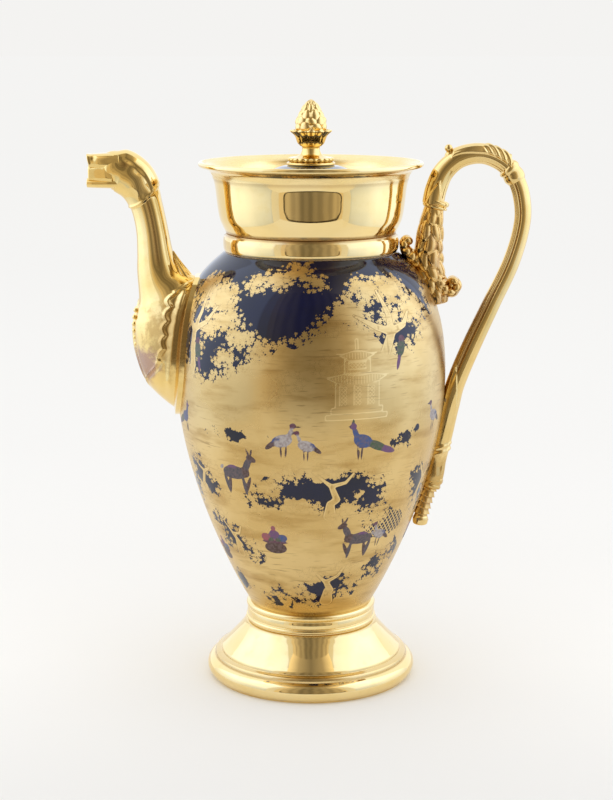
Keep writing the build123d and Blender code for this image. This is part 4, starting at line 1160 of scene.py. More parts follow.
# %% Helpers for grids over rows of points
def wrap_rows(points, heights):
    """A bmesh of a grid laid over rows of points, in millimetres, with its seam and poles merged."""
    rows, columns = points.shape[:2]
    bm = bmesh.new()
    bmesh.ops.create_grid(bm, x_segments=columns - 1, y_segments=rows - 1, size=0.5)
    carved = bm.verts.layers.float.new("carved_height")
    for vertex in bm.verts:
        row, column = round((vertex.co.y + 0.5) * (rows - 1)), round((vertex.co.x + 0.5) * (columns - 1))
        vertex.co = Vector(points[row, column]) * MM
        vertex[carved] = heights[row, column]
    bmesh.ops.remove_doubles(bm, verts=bm.verts, dist=MERGE_DISTANCE)
    return bm


def with_end(rows, fades, sign, length):
    """A route's rows with a cap at the start (-1) or end (1), and how far relief fades on each row."""
    row = rows[0] if sign < 0 else rows[-1]
    if length >= 0:
        bends = np.radians(np.linspace(15, 90, 6))
        moves, shrinks = length * np.sin(bends), np.maximum(np.cos(bends), 0)
    else:
        moves, shrinks = np.array([0, length * 0.2, length, length]), np.array([0.82, 0.74, 0.6, 0])
    cap = np.repeat(row[None], len(moves), 0)
    cap[:, :2] += sign * moves[:, None] * row[4:]
    cap[:, 2:4] *= shrinks[:, None]
    if sign < 0:
        return np.vstack([cap[::-1], rows]), np.concatenate([shrinks[::-1], fades])
    return np.vstack([rows, cap]), np.concatenate([fades, shrinks])


print("grids over rows ready")

# %% Helper for forms wrapped along a route
THINNEST = 1e-3


def swept(stations, around=48, steps=8, ends=(0.0, 0.0), relief=None, square=1.0):
    """A form wrapped round a route of (x, height, half thickness, half width) stations.

    An end of 0 is flat, above 0 rounded by that length, and below 0 hollow to that depth. The
    relief gets the run along the route, the side angle (0 outer, 180 inner) and the point.
    """
    core = np.array(curve_through(stations, steps))
    ways = np.gradient(core[:, :2], axis=0)
    ways /= np.linalg.norm(ways, axis=1)[:, None]
    rows, fades = np.hstack([core, ways]), np.ones(len(core))
    for sign, length in zip((-1, 1), ends):
        rows, fades = with_end(rows, fades, sign, length)
    run = np.concatenate([[0], np.cumsum(np.hypot(*np.diff(rows[:, :2], axis=0).T))])[:, None]
    angle = np.linspace(0, math.tau, around + 1)[None, :]
    x, z, thick, wide, dx, dz = (rows[:, k][:, None] for k in range(6))
    c, s = np.cos(angle), np.sin(angle)
    out_c, out_s = c / np.maximum(thick, THINNEST), s / np.maximum(wide, THINNEST)
    size = np.hypot(out_c, out_s)
    across = thick * np.sign(c) * np.abs(c) ** square
    aside = wide * np.sign(s) * np.abs(s) ** square
    side = np.degrees(np.arccos(np.clip(c, -1, 1))) + 0 * run
    height = np.zeros((len(rows), angle.shape[1]))
    if relief:
        height = relief(run, side, x - dz * across, aside, z + dx * across) * fades[:, None]
    across, aside = across + height * out_c / size, aside + height * out_s / size
    return wrap_rows(np.stack([x - dz * across, aside + 0 * x, z + dx * across], axis=2), height)


print("routes ready, with no half thickness under", THINNEST, "mm")

# %% Helpers for turned relief, balls and moulded pieces
def turned(outline, turns, relief):
    """A form wrapped round the upright axis; relief(turn in degrees, radius, height) raises it."""
    radius, height = (np.array(v)[:, None] for v in zip(*outline))
    angle = np.linspace(0, 360, turns + 1)[None, :]
    raised = relief(angle, radius, height) * (radius > 0.01)
    full = radius + raised
    ways = np.radians(angle)
    points = np.stack([full * np.sin(ways), -full * np.cos(ways), height + 0 * angle], axis=2)
    return wrap_rows(points, raised)


def add_ball(bm, centre, radius, fineness):
    """Adds a ball to a bmesh, with its centre and radius in millimetres."""
    spot = Matrix.Translation(Vector(centre) * MM)
    bmesh.ops.create_icosphere(bm, subdivisions=fineness, radius=radius * MM, matrix=spot)


def moulded(name, bm, finish, *nodes, body="pot"):
    """A moulded gold piece, smooth all over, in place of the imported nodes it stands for."""
    return finish_piece(name, bm, body, finish, "gold", *nodes, sharp=0)


print("helpers for moulded pieces ready")

# %% [markdown]
# ### Spout
# The spout rises from a leafy calyx luted to the body, narrows to a fluted neck and ends in a
# creature's head with an open mouth. Root, neck and head are one wrapped form, so that light
# runs along it without a break; muzzle and lower jaw are two small forms set into its end.

# %% Route of the spout
ROOT_STATIONS = [
    (-57.5, 131.5, 5.5, 6.0), (-58.0, 137.2, 11.7, 12.0), (-59.0, 146.2, 18.6, 18.0),
    (-60.2, 155.8, 21.6, 20.0), (-62.0, 168.2, 22.8, 19.6), (-65.0, 180.1, 20.7, 16.6),
    (-68.0, 188.0, 16.4, 13.6), (-71.3, 195.0, 11.7, 11.0),
]
NECK_STATIONS = [
    (-73.0, 201.0, 9.9, 9.6), (-73.8, 207.0, 8.8, 8.7), (-75.0, 218.0, 7.8, 7.9),
    (-76.9, 228.0, 7.7, 7.7), (-79.3, 235.4, 8.3, 7.9), (-83.0, 241.6, 9.4, 8.2),
    (-88.3, 245.7, 9.7, 8.1), (-92.6, 246.8, 8.9, 7.5), (-95.4, 246.9, 8.2, 7.0),
]
CALYX_EDGE = [
    (142, 4), (147, 14), (152, 34), (156, 50), (161.5, 62), (167.3, 68), (174, 73), (180.3, 80),
    (187, 90), (191, 102), (194.5, 130), (197.5, 190),
]
print("stations on the spout's route:", len(ROOT_STATIONS) + len(NECK_STATIONS))

# %% Relief of the spout's root
def calyx_relief(side, x, y, z):
    """The leaves at the root: a scalloped edge, a strip down the front and a rib beside the body."""
    lip = np.clip(z, 140, 230)
    girth = np.interp(lip, (150, 172, 186, 200), (21, 21, 16, 10)) * math.pi / 180
    lobes = 2.0 * np.abs(np.sin(math.pi * (lip - 158.4) / 6.4)) ** 0.7
    lobes = lobes * step_up(z, 155, 159) * step_up(z, 193, 190)
    inside = (side - np.interp(lip, *zip(*CALYX_EDGE))) * girth + lobes - 1.2
    calyx = 0.8 * step_up(inside, -0.15, 0.5) + 0.5 * mound(inside, 1.0, 0.7) - 0.4 * mound(inside, 2.8, 1.1)
    calyx = calyx * step_up(z, 198, 195) * step_up(z, 141, 150) * step_up(x, -85.5, -83.5)
    strip = np.interp(z, (140, 152, 166, 176, 184, 187), (2.0, 2.6, 3.4, 3.2, 1.6, -1.0)) - np.abs(y)
    strip = 0.7 * step_up(strip, -0.3, 0.6) * step_up(z, 140, 150) * step_up(x, -70, -74)
    gap = np.hypot(x, y) - radius_at(z)
    rib = 0.5 * mound(gap, 4.2, 1.2) - 0.5 * mound(gap, 6.4, 1.3)
    rib = rib * step_up(z, 196, 188) * step_up(z, 138, 150)
    return calyx + strip + rib


print("the calyx reaches up to", CALYX_EDGE[-1][0], "mm")

# %% Relief of neck and head
def spout_relief(run, side, x, y, z):
    """The calyx, the neck's flutes, and the head with its eyes, cheeks, seam and crest."""
    fluted = step_up(z, 196, 206) * step_up(x, -86, -80) * step_up(z, 240, 232)
    flutes = -0.6 * mound(side, 100, 11) + 0.45 * mound(side, 140, 9) - 0.4 * mound(side, 180, 24)
    seam_height = 229.0 + 0.2 * (x + 85.1) + 0.042 * (x + 85.1) ** 2
    on_head = step_up(z - seam_height, -0.2, 0.8) * step_up(z, 224, 230)
    seam = 0.5 * mound(z - seam_height, 0.6, 0.7) * step_up(z, 224, 228) * step_up(x, -90, -86)
    face = 0.7 * blob(x, y, z, (-81.5, 8.0, 240.5), 5.0) - 1.1 * blob(x, y, z, (-87.0, 8.0, 250.6), 3.4)
    face += 1.0 * blob(x, y, z, (-91.6, 6.4, 254.0), 2.6) - 0.8 * blob(x, y, z, (-80.5, 8.0, 247.2), 3.0)
    face -= 0.6 * blob(x, y, z, (-94.0, 7.6, 241.6), 3.0)
    crest = 0.9 * step_up(side, 122, 134) * step_up(x, -91, -86) * step_up(z - seam_height, 0.3, 3.0)
    return calyx_relief(side, x, y, z) + fluted * flutes + seam + on_head * (0.3 + face) + crest


spout_bm = swept(ROOT_STATIONS + NECK_STATIONS, around=232, steps=20, ends=(1.0, 3.2), relief=spout_relief)
moulded("spout_form", spout_bm, spout_gold, "spout_root", "spout_neck", "spout_scallops")

# %% [markdown]
# ### Muzzle, lower jaw and throat
# The mouth is open, since coffee pours from it. An upper muzzle and a lower jaw are flattened
# routes set into the end of the head, and a squared throat between them has a hollow end. The
# faces deep in the throat get a dark brown gold: painted shade, where light hardly reaches.

# %% Muzzle and lower jaw
MUZZLE = [
    (-90.0, 250.9, 4.4, 7.1), (-95.0, 251.0, 4.3, 7.1), (-99.0, 251.0, 4.1, 6.9),
    (-102.5, 251.1, 3.8, 6.4), (-105.2, 251.1, 3.5, 5.9),
]
LOWER_JAW = [
    (-89.0, 241.2, 3.2, 6.9), (-95.0, 241.0, 2.7, 6.8), (-99.0, 240.9, 2.5, 6.4),
    (-102.5, 240.9, 2.4, 6.0), (-105.1, 240.9, 2.3, 5.6),
]
SLOPE_START, SLOPE_RUN, SLOPE, MUZZLE_TOP = 99, 6.5, 0.24, 254.7


def muzzle_relief(run, side, x, y, z):
    """A nostril, a raised lip and a flat top."""
    lip = 0.45 * mound(side, 52, 14) + 0.35 * mound(x, -105.0, 0.8)
    return lip - 0.4 * blob(x, y, z, (-102.0, 6.0, 252.6), 1.1) - 0.3 * mound(side, 180, 30)


def jaw_relief(run, side, x, y, z):
    """A soft fold along the lower lip."""
    return 0.3 * mound(side, 150, 16)


muzzle_bm = swept(MUZZLE, around=72, steps=22, ends=(0.6, 0.35), relief=muzzle_relief, square=0.82)
for vertex in muzzle_bm.verts:
    share = np.clip((-vertex.co.x / MM - SLOPE_START) / SLOPE_RUN, 0, 1)
    vertex.co.x += share * (MUZZLE_TOP * MM - vertex.co.z) * SLOPE
moulded("spout_muzzle", muzzle_bm, spout_gold, "spout_head")
jaw_bm = swept(LOWER_JAW, around=64, steps=20, ends=(0.6, 0.35), relief=jaw_relief, square=0.85)
moulded("spout_jaw", jaw_bm, spout_gold)

# %% Throat
THROAT = [
    (-93.0, 245.4, 5.4, 7.45), (-95.8, 245.4, 5.0, 7.2), (-98.0, 245.3, 4.7, 6.85),
    (-101.0, 245.3, 4.4, 6.35), (-104.4, 245.3, 4.1, 5.6),
]
MOUTH_START, MOUTH_HEIGHT, MOUTH_HALF_WIDE, MOUTH_HALF_TALL, MOUTH_SHARE = -96.0, 245.3, 5.6, 4.1, 0.80
throat_bm = swept(THROAT, around=64, ends=(0.0, -8.0), square=0.62)
throat_piece = moulded("spout_throat", throat_bm, (spout_gold, mouth_shade_gold))
# Faces deep in the mouth take the dark gold as painted shade.
for polygon in throat_piece.data.polygons:
    spot = polygon.center / MM
    off_middle = max(abs(spot.y) / MOUTH_HALF_WIDE, abs(spot.z - MOUTH_HEIGHT) / MOUTH_HALF_TALL)
    polygon.material_index = int(spot.x < MOUTH_START and off_middle < MOUTH_SHARE)
print("dull faces in the mouth:", sum(polygon.material_index for polygon in throat_piece.data.polygons))

# %% [markdown]
# ### Leaf bracket and beads
# Behind the spout a short fluted leaf spreads over the shoulder and hides the joint. Two rows
# of beads run down the front strip. On the mould each bead is one touch of a round tool, so a
# ball repeated along a curve gives them.

# %% Leaf bracket
BRACKET = [
    (-66.2, 208.0, 1.0, 1.4), (-64.4, 203.0, 2.4, 3.4), (-61.4, 197.0, 3.8, 6.6),
    (-57.8, 191.6, 4.2, 9.6), (-54.0, 187.5, 4.0, 10.6),
]


def bracket_relief(run, side, x, y, z):
    """Fourteen flutes round the bracket."""
    return 0.5 * np.cos(np.radians(side) * 7) ** 2 - 0.2


bracket_bm = swept(BRACKET, around=96, steps=14, ends=(0.6, 0.6), relief=bracket_relief)
moulded("spout_leaf", bracket_bm, spout_gold, "spout_bracket")

# %% Rows of beads
FRONT_LINE = [
    (146, -77.9), (155, -82.4), (165, -84.9), (172, -85.6), (178, -85.4), (183, -84.2), (187, -82.9),
]
BESIDE_LINE = [(152, 3.4), (166, 4.3), (176, 4.0), (182, 2.6)]
BEADS, BEAD_RADIUS, FIRST_BEAD, BEAD_STEP, BEAD_SUNK = 9, 1.15, 155.0, 3.2, 1.3
beads_bm = bmesh.new()
for k in range(BEADS):
    height = FIRST_BEAD + BEAD_STEP * k
    beside = float(np.interp(height, *zip(*BESIDE_LINE)))
    front = float(np.interp(height, *zip(*FRONT_LINE)))
    for side in (-1, 1):
        add_ball(beads_bm, (front + BEAD_SUNK, side * beside, height), BEAD_RADIUS, 2)
moulded("spout_bead_rows", beads_bm, spout_gold, "spout_beads")

# %% [markdown]
# ### Handle
# The handle springs from an acanthus trunk on the shoulder, arches over the hand and runs down
# to the belly, where it ends in a chain of husks and a knob. A leaf lies along its outer side.
# The whole arm is one route, and grooves, leaf and gadroons are worked out from the angle round
# it, so each of them follows the bend as a potter's modelling tool does.

# %% Handle arm
ARM_STATIONS = [
    (57.6, 231.0, 5.2, 5.2), (59.0, 238.0, 5.2, 5.1), (62.6, 246.2, 5.0, 5.0), (69.8, 252.3, 4.7, 4.9),
    (80.0, 254.2, 4.5, 4.8), (89.2, 250.9, 4.4, 4.7), (95.4, 244.6, 4.2, 4.6), (99.25, 235.2, 4.1, 4.5),
    (100.1, 222.5, 3.95, 4.4), (95.4, 203.8, 4.1, 4.4), (86.5, 184.0, 4.3, 4.5), (77.4, 163.8, 4.6, 4.6),
    (70.3, 146.0, 4.6, 4.6), (66.9, 134.0, 4.5, 4.5), (64.1, 120.0, 4.3, 4.2), (61.3, 107.0, 4.1, 3.9),
    (59.2, 97.0, 4.0, 3.7),
]


def arm_relief(run, side, x, y, z):
    """Grooves beside the inner rib, the outer leaf with its slanting gadroons, and leaf tips."""
    free = step_up(x, 62, 70) * step_up(z, 138, 158)
    grooves = -0.75 * mound(side, 118, 7) + 0.35 * mound(side, 132, 6) - 0.6 * mound(side, 148, 7)
    over = step_up(x, 65.5, 67.0) * step_up(x, 94.5, 93.5) * (z > 240)
    from_edge = (84 - side) * 0.082 - 1.6 * step_up(x, 80, 66)
    leaf = over * (0.8 * step_up(from_edge, 0, 0.7) + 0.25 * mound(from_edge, 0.8, 0.5))
    slant = np.abs(np.sin(math.pi * (run + from_edge * 0.9) / 3.3)) ** 0.7
    gadroons = over * step_up(x, 80, 84) * step_up(from_edge, 0.3, 1.2) * (1.1 * slant - 0.55)
    from_tip = np.abs(side - 90) * 0.09 + (z - 233) * 0.40
    tips = step_up(side, 40, 50) * step_up(side, 140, 130) * step_up(from_tip, 4.0, 3.2)
    spear = 0.9 * tips * (z < 246) * (x < 70)
    tail = step_up(z, 143, 132) * step_up(x, 76, 72)
    level = z - 0.35 * (x - 64)
    ring = 0.8 * mound(level, 111.6, 1.0) + 0.5 * mound(level, 114.2, 0.7)
    husk = 0.55 * step_up(z, 107, 99) - 0.5 * mound(side, 70, 20) * mound(z, 104, 3.2)
    husk = step_up(z, 110, 107) * husk
    low_leaf = tail * (0.5 * mound(side, 0, 30) - 0.3 * mound(side, 62, 14) + ring + husk)
    return free * (grooves * (1 - 0.8 * over)) + leaf + gadroons + spear + low_leaf


arm_bm = swept(ARM_STATIONS, around=96, steps=46, relief=arm_relief)
print("points on the arm:", len(arm_bm.verts))

# %% Painted shade on the arm's inner side
INNER_SHADE_DEPTH = 0.7
arm_carved = arm_bm.verts.layers.float["carved_height"]
arm_line = sorted((z, x) for x, z, *_ in ARM_STATIONS[8:])
for vertex in arm_bm.verts:
    height = vertex.co.z / MM
    inward = float(np.interp(height, *zip(*arm_line))) - vertex.co.x / MM
    # The inner side of the arch, facing the pot, is marked as a hollow for painted shade.
    inner_shade = step_up(inward, 0.6, 2.0) * step_up(height, 144, 154) * step_up(height, 196, 180)
    vertex[arm_carved] -= INNER_SHADE_DEPTH * float(inner_shade)
moulded("handle_form", arm_bm, handle_gold, "handle_arm", "handle_leaf", "handle_tail", "tail_leaf")

# %% [markdown]
# ### Bands, collar and thumb bead
# Where two leaves meet on a mould, a turned band covers the join. The collar sits on the trunk
# and the band on the far side of the arch; each is a short fat route. A pair of balls makes
# the bead that the thumb rests against.

# %% Bands, collar and thumb bead
BAND = [
    (92.0, 248.6, 4.2, 4.4), (92.6, 248.0, 5.0, 5.2), (93.5, 247.0, 5.3, 5.5), (94.3, 246.0, 4.8, 5.1),
    (95.4, 244.4, 5.1, 5.3), (96.2, 242.9, 5.0, 5.2), (96.9, 241.4, 4.2, 4.4),
]
COLLAR = [
    (58.2, 228.6, 4.8, 4.9), (58.4, 229.4, 5.9, 6.0), (58.7, 230.3, 6.0, 6.1), (58.9, 230.9, 5.4, 5.5),
    (59.2, 231.7, 6.2, 6.3), (59.5, 232.6, 6.1, 6.2), (59.7, 233.3, 4.9, 5.0),
]
THUMB_BALLS = [((64.7, 0, 257.0), 1.9), ((65.4, 0, 253.4), 2.6)]
moulded("arch_band_form", swept(BAND, around=72, ends=(0.2, 0.2)), handle_gold, "arch_band")
moulded("collar_form", swept(COLLAR, around=72, ends=(0.2, 0.2)), handle_gold, "handle_collar")
thumb_bm = bmesh.new()
for centre, radius in THUMB_BALLS:
    add_ball(thumb_bm, centre, radius, 4)
moulded("thumb_bead_form", thumb_bm, handle_gold, "thumb_bead")

# %% [markdown]
# ### Acanthus trunk
# The root of the handle is a trunk clad in overlapping leaf tips, with one leaf curling down
# beside the belly and one up against the neck. Each curl is a flat route that winds inwards.
# The leaf tips come from rows of rounded pads, each row shifted by half a pad.

# %% Acanthus trunk and its two curled leaves
TRUNK = [
    (60.8, 184.6, 4.4, 4.8), (60.2, 188.5, 5.6, 5.8), (57.9, 195.0, 6.2, 6.4), (55.8, 204.0, 6.8, 7.0),
    (56.0, 213.0, 6.4, 6.6), (56.9, 222.0, 5.5, 5.8), (58.2, 229.5, 4.7, 5.0),
]
LOWER_CURL = [
    (58.6, 199.5, 3.2, 5.6), (61.4, 193.6, 3.6, 6.2), (64.0, 190.2, 3.4, 6.4), (66.8, 189.4, 2.8, 6.2),
    (69.0, 190.9, 2.5, 5.8), (69.2, 193.3, 2.4, 5.4), (67.6, 194.5, 2.2, 5.0), (66.4, 193.3, 1.9, 4.6),
    (67.2, 192.0, 1.4, 4.0),
]
UPPER_CURL = [
    (54.0, 203.4, 4.4, 5.6), (49.8, 204.6, 4.2, 5.6), (46.6, 207.2, 3.4, 5.3), (44.7, 210.2, 2.6, 5.0),
    (44.4, 212.8, 2.4, 4.7), (45.4, 214.3, 2.1, 4.3), (46.6, 213.4, 1.8, 3.9), (45.9, 212.2, 1.3, 3.4),
]


def trunk_relief(run, side, x, y, z):
    """Overlapping leaf pads, flatter towards the pot."""
    drift = 0.7 * np.sin(side / 23 + run * 0.21) + 0.5 * np.sin(run * 0.47)
    pads = scales(side / 60.0 + 0.10 * np.sin(run * 0.35), -(run + drift) / 6.6)
    return (2.3 * pads - 1.25) * (0.3 + 0.7 * step_up(side, 15, 50)) * step_up(z, 229.5, 224)


def curl_relief(run, side, x, y, z):
    """Rounded leaf lobes along a curl, deeper towards its edges."""
    lobes = np.abs(np.sin(math.pi * run / 3.4 + np.abs(y) * 0.25)) ** 0.6
    return 0.9 * (lobes - 0.6) * step_up(np.abs(y), 0.6, 3.0) - 0.35 * mound(y, 0, 0.7)


trunk_bm = swept(TRUNK, around=128, steps=24, ends=(1.6, 0.0), relief=trunk_relief)
moulded("trunk_form", trunk_bm, trunk_gold, "handle_trunk")
for name, stations in (("lower_curl", LOWER_CURL), ("upper_curl", UPPER_CURL)):
    moulded(name, swept(stations, around=64, steps=12, ends=(0.0, 0.5), relief=curl_relief), trunk_gold)

# %% [markdown]
# ### Tail of the handle
# A ring ends the arm, and from it a chain of husks hangs against the body, closed by a knob.
# The flare of a husk repeats along its route, so one formula makes the whole chain.

# %% Tail ring, husks and knob
RING = [
    (59.9, 98.8, 4.0, 3.8), (59.7, 98.0, 4.9, 4.7), (59.4, 96.8, 5.1, 4.9), (59.0, 95.7, 4.6, 4.4),
    (58.6, 94.7, 5.0, 4.8), (58.2, 93.7, 4.8, 4.6), (58.0, 93.0, 3.8, 3.7),
]
HUSKS = [(58.6, 95.0, 3.5, 3.4), (56.4, 89.0, 3.5, 3.3), (54.4, 82.0, 3.5, 3.2), (53.5, 77.0, 3.4, 3.1)]
KNOB = [(53.9, 79.0, 3.0, 2.9), (53.8, 78.2, 3.6, 3.5), (53.6, 76.6, 3.8, 3.7), (53.5, 75.2, 3.6, 3.5)]
HUSK_LENGTH = 3.1


def husk_relief(run, side, x, y, z):
    """A chain of husks, each flaring to its lobed mouth and clasping the next."""
    share = (run / HUSK_LENGTH) % 1
    return 1.2 * share**1.4 * (0.55 + 0.45 * np.abs(np.cos(np.radians(side) * 2.5))) - 0.45


moulded("tail_ring_form", swept(RING, around=64, ends=(0.2, 0.2)), handle_gold, "tail_ring")
moulded("husk_chain", swept(HUSKS, around=72, steps=26, relief=husk_relief), trunk_gold, "husk_stem")
moulded("knob_form", swept(KNOB, ends=(0.2, 1.3)), handle_gold, "tail_knob")

# %% [markdown]
# ### Finial
# The lid's grip is a bud of overlapping scales in a scalloped cup, on a stem with a beaded foot.
# All three are turned outlines; a relief that repeats round the turn then cuts the beads, the
# lobes and the scales, much as a maker would press them into soft clay with one small tool.

# %% Outlines of the finial
BASE = (
    [(0.0, 248.7), (11.2, 248.7)]
    + arc((10.8, 249.9), 0.75, -70, 80, 6)
    + [(10.6, 250.8), (10.2, 251.05)]
    + arc((10.0, 251.9), 0.9, -80, 80, 10)
    + [(9.0, 252.75), (8.0, 252.9)]
    + curve_through([(7.6, 253.0), (5.4, 254.0), (4.3, 256.0), (4.2, 257.4), (4.6, 258.4)], 6)
    + [(0.0, 258.4)]
)
CUP = (
    [(0.0, 257.6), (4.2, 257.8)]
    + curve_through([(5.0, 258.1), (6.1, 259.4), (6.9, 261.4), (7.6, 263.2), (8.9, 264.6)], 8)
    + arc((8.7, 265.1), 0.5, -40, 150, 5)
    + [(7.4, 264.6), (6.4, 263.4), (0.0, 263.0)]
)
BUD = curve_through(
    [(0.0, 262.0), (4.6, 262.6), (6.6, 264.8), (7.0, 267.6), (6.6, 270.4), (5.3, 273.4), (3.6, 276.2),
     (1.9, 278.5), (0.7, 279.5), (0.0, 279.8)], 12
)
print("outline points: foot", len(BASE), "cup", len(CUP), "bud", len(BUD))

# %% Finial foot, cup and bud
def base_relief(turn, radius, height):
    """Twenty beads round the rim of the foot."""
    beads = np.abs(np.sin(np.radians(turn) * 10)) ** 0.6 - 1
    return 0.85 * beads * mound(height, 251.9, 0.9) * (radius > 9.2)


def cup_relief(turn, radius, height):
    """Twelve flared lobes with a rib between each pair."""
    lobe = np.abs(np.cos(np.radians(turn) * 6)) ** 0.6
    flare = 0.25 * step_up(height, 258, 260) + 0.75 * step_up(height, 262, 265)
    return (1.3 * lobe - 0.6) * flare * (radius > 4)


def bud_relief(turn, radius, height):
    """Overlapping scales that point to the tip."""
    ragged = 0.9 * np.sin(np.radians(turn) * 3 + height * 0.7) + 0.5 * np.sin(np.radians(turn) * 7 - height)
    return (1.5 * scales(turn / 45.0, (height - 262 + 0.5 * ragged) / 3.1) - 0.65) * step_up(radius, 0.2, 3.0)


moulded("finial_foot", turned(BASE, 240, base_relief), moulded_gold, "finial_base", body="lid")
moulded("finial_cup_form", turned(CUP, 240, cup_relief), moulded_gold, "finial_cup", body="lid")
moulded("finial_bud_form", turned(BUD, 200, bud_relief), bud_gold, "finial_bud", body="lid")

# %% [markdown]
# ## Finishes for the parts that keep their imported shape
# The flange between spout and body is a plain curved frame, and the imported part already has
# that shape. It only needs the spout's gold, so that the two read as one casting.

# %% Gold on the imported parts
for name, node in frame["nodes"].items():
    if not node.hide_render:
        node.data.materials.clear()
        node.data.materials.append(spout_gold)
print("packed parts that stay in view:", sum(not n.hide_render for n in frame["nodes"].values()))

# %% [markdown]
# ## Studio
# Mirror gold shows its surroundings, so the studio matters as much as the metal: a white
# table, a large soft light on each side, and between them a dim opening where the camera
# stands. The panels are seen only in reflections; the air round the table lights the rest.

# %% Helper for a glowing panel
def by_place(material, axis, stops):
    """A brightness that follows one object coordinate through (metres, brightness) stops."""
    along = place_parts(material)[axis]
    low, high, most = stops[0][0], stops[-1][0], max(level for _, level in stops)
    share = add_node(material, "ShaderNodeMapRange", [("Value", along)], From_Min=low, From_Max=high)
    shades = add_node(material, "ShaderNodeValToRGB", [("Fac", share.outputs[0])])
    ramp = shades.color_ramp
    for index, (spot, _) in enumerate(stops):
        where = (spot - low) / (high - low)
        stop = ramp.elements[index] if index < 2 else ramp.elements.new(where)
        stop.position = where
    for stop in ramp.elements:
        level = np.interp(low + stop.position * (high - low), *zip(*stops)) / most
        stop.color = (level, level, level, 1)
    return math_node(material, "MULTIPLY", shades.outputs[0], most)


def panel(name, centre, across, up, colour, shade):
    """A flat glowing panel of two half-size vectors round a centre, in metres, shaded by a function."""
    bm = bmesh.new()
    bmesh.ops.create_grid(bm, x_segments=1, y_segments=1, size=1.0)
    a, b, c = Vector(across), Vector(up), Vector(centre)
    for vertex in bm.verts:
        vertex.co = c + a * vertex.co.x + b * vertex.co.y
    mesh = bpy.data.meshes.new(name)
    bm.to_mesh(mesh)
    bm.free()
    piece = bpy.data.objects.new(name, mesh)
    bpy.context.scene.collection.objects.link(piece)
    glow, output = new_finish(name)
    light = add_node(glow, "ShaderNodeEmission", [("Strength", shade(glow))], Color=(*colour, 1))
    glow.node_tree.links.new(light.outputs[0], output.inputs[0])
    mesh.materials.append(glow)
    piece.visible_camera = piece.visible_diffuse = piece.visible_shadow = False
    return piece


print("panel helper ready")

# %% [markdown]
# ### The dim opening
# Straight ahead a polished neck mirrors the camera's side of the room. There it shows a darker
# field with a rounded lower edge, a dark rim round it and soft folds inside, as a gap between
# two cloths would. One panel carries that drawing, worked out from the place on the panel.

# %% Shade of the dim opening
SIDE, FRONT, BACK, HIGH, CORNER = 0.37, -0.47, 0.26, 1.0, -0.345
OPENING = [
    (-0.37, 0.80), (-0.33, 0.78), (-0.27, 0.56), (-0.155, 0.40), (-0.08, 0.23), (0.0, 0.23), (0.08, 0.30),
    (0.16, 0.35), (0.24, 0.45), (0.32, 0.62), (0.37, 0.80),
]
SIDE_LIGHT = [
    (CORNER, 1.0), (-0.32, 1.18), (-0.22, 1.26), (-0.14, 1.34), (-0.09, 1.48), (-0.04, 1.58),
    (0.14, 1.62), (BACK, 1.5),
]
LOW_FADE = [(0.0, 0.60), (0.10, 0.72), (0.24, 1.0), (HIGH, 1.0)]
OPENING_LEFT, OPENING_RIGHT, OPENING_SILL, OPENING_ROUND, OPENING_RIM = -0.30, 0.345, 0.002, 0.075, 0.022


def opening_shade(material):
    """The dim opening: soft curtain folds inside a rounded sill, a dark rim, and pale cloth outside."""
    parts = place_parts(material)
    middle, half = (OPENING_LEFT + OPENING_RIGHT) / 2, (OPENING_RIGHT - OPENING_LEFT) / 2
    beside = math_node(material, "ABSOLUTE", math_node(material, "SUBTRACT", parts[0], middle))
    beside = math_node(material, "SUBTRACT", beside, half - OPENING_ROUND)
    below = math_node(material, "SUBTRACT", OPENING_SILL + OPENING_ROUND, parts[2])
    past = [math_node(material, "MAXIMUM", gap, 0.0) for gap in (beside, below)]
    squares = math_node(material, "ADD", *[math_node(material, "POWER", gap, 2.0) for gap in past])
    edge = math_node(material, "SUBTRACT", OPENING_ROUND, math_node(material, "SQRT", squares))
    folds = add_node(
        material, "ShaderNodeTexWave", [("Vector", object_place(material))],
        Scale=3.2, Distortion=2.5, Detail=1.0, Detail_Scale=1.2,
    ).outputs[1]
    folds = spread(material, folds, 0.0, 1.0, 0.86, 1.14)
    inside = math_node(material, "MULTIPLY", by_place(material, 0, OPENING), folds)
    past_rim = spread(material, edge, OPENING_RIM * 0.75, OPENING_RIM, 0.0, 1.0)
    rim = math_node(material, "SUBTRACT", 1.0, past_rim)
    low_down = spread(material, parts[2], 0.10, 0.16, 1.0, 0.0)
    rim = math_node(material, "MULTIPLY", math_node(material, "MULTIPLY", rim, low_down), 0.88)
    framed = math_node(material, "MULTIPLY", inside, math_node(material, "SUBTRACT", 1.0, rim))
    within = spread(material, edge, -0.002, 0.002)
    outside = math_node(material, "MULTIPLY", math_node(material, "SUBTRACT", 1.0, within), 0.80)
    return math_node(material, "MULTIPLY_ADD", framed, within, outside)


print("the opening is", round(OPENING_RIGHT - OPENING_LEFT, 3), "m wide")

# %% [markdown]
# ### Panels round the pot
# Two cool white side lights give the long bright edges on spout and handle. Plain frames close
# the corners in front, so no gap shows in the gold, and a dim ceiling darkens the middle of the
# dome. Only glossy rays see the panels, so they draw reflections and cast no light or shadow.

# %% Panels
COOL_WHITE, PLAIN_WHITE, DUSK = (0.98, 1.09, 1.34), (1.0, 0.99, 0.97), (1.0, 0.85, 0.62)
FRAME_LIGHT = [(FRONT, 0.80), (CORNER, 0.86)]
CEILING_LIGHT = [(-0.37, 1.2), (-0.2, 0.5), (0.0, 0.25), (0.2, 0.45), (0.37, 1.2)]
CEILING_BACK = 0.12


def side_shade(material):
    """A side light that brightens to the back and fades near the table."""
    return math_node(material, "MULTIPLY", by_place(material, 1, SIDE_LIGHT), by_place(material, 2, LOW_FADE))


def frame_shade(material):
    """A plain cloth between a side light and the front."""
    return by_place(material, 1, FRAME_LIGHT)


def ceiling_shade(material):
    """A ceiling that is dim in the middle."""
    return by_place(material, 0, CEILING_LIGHT)


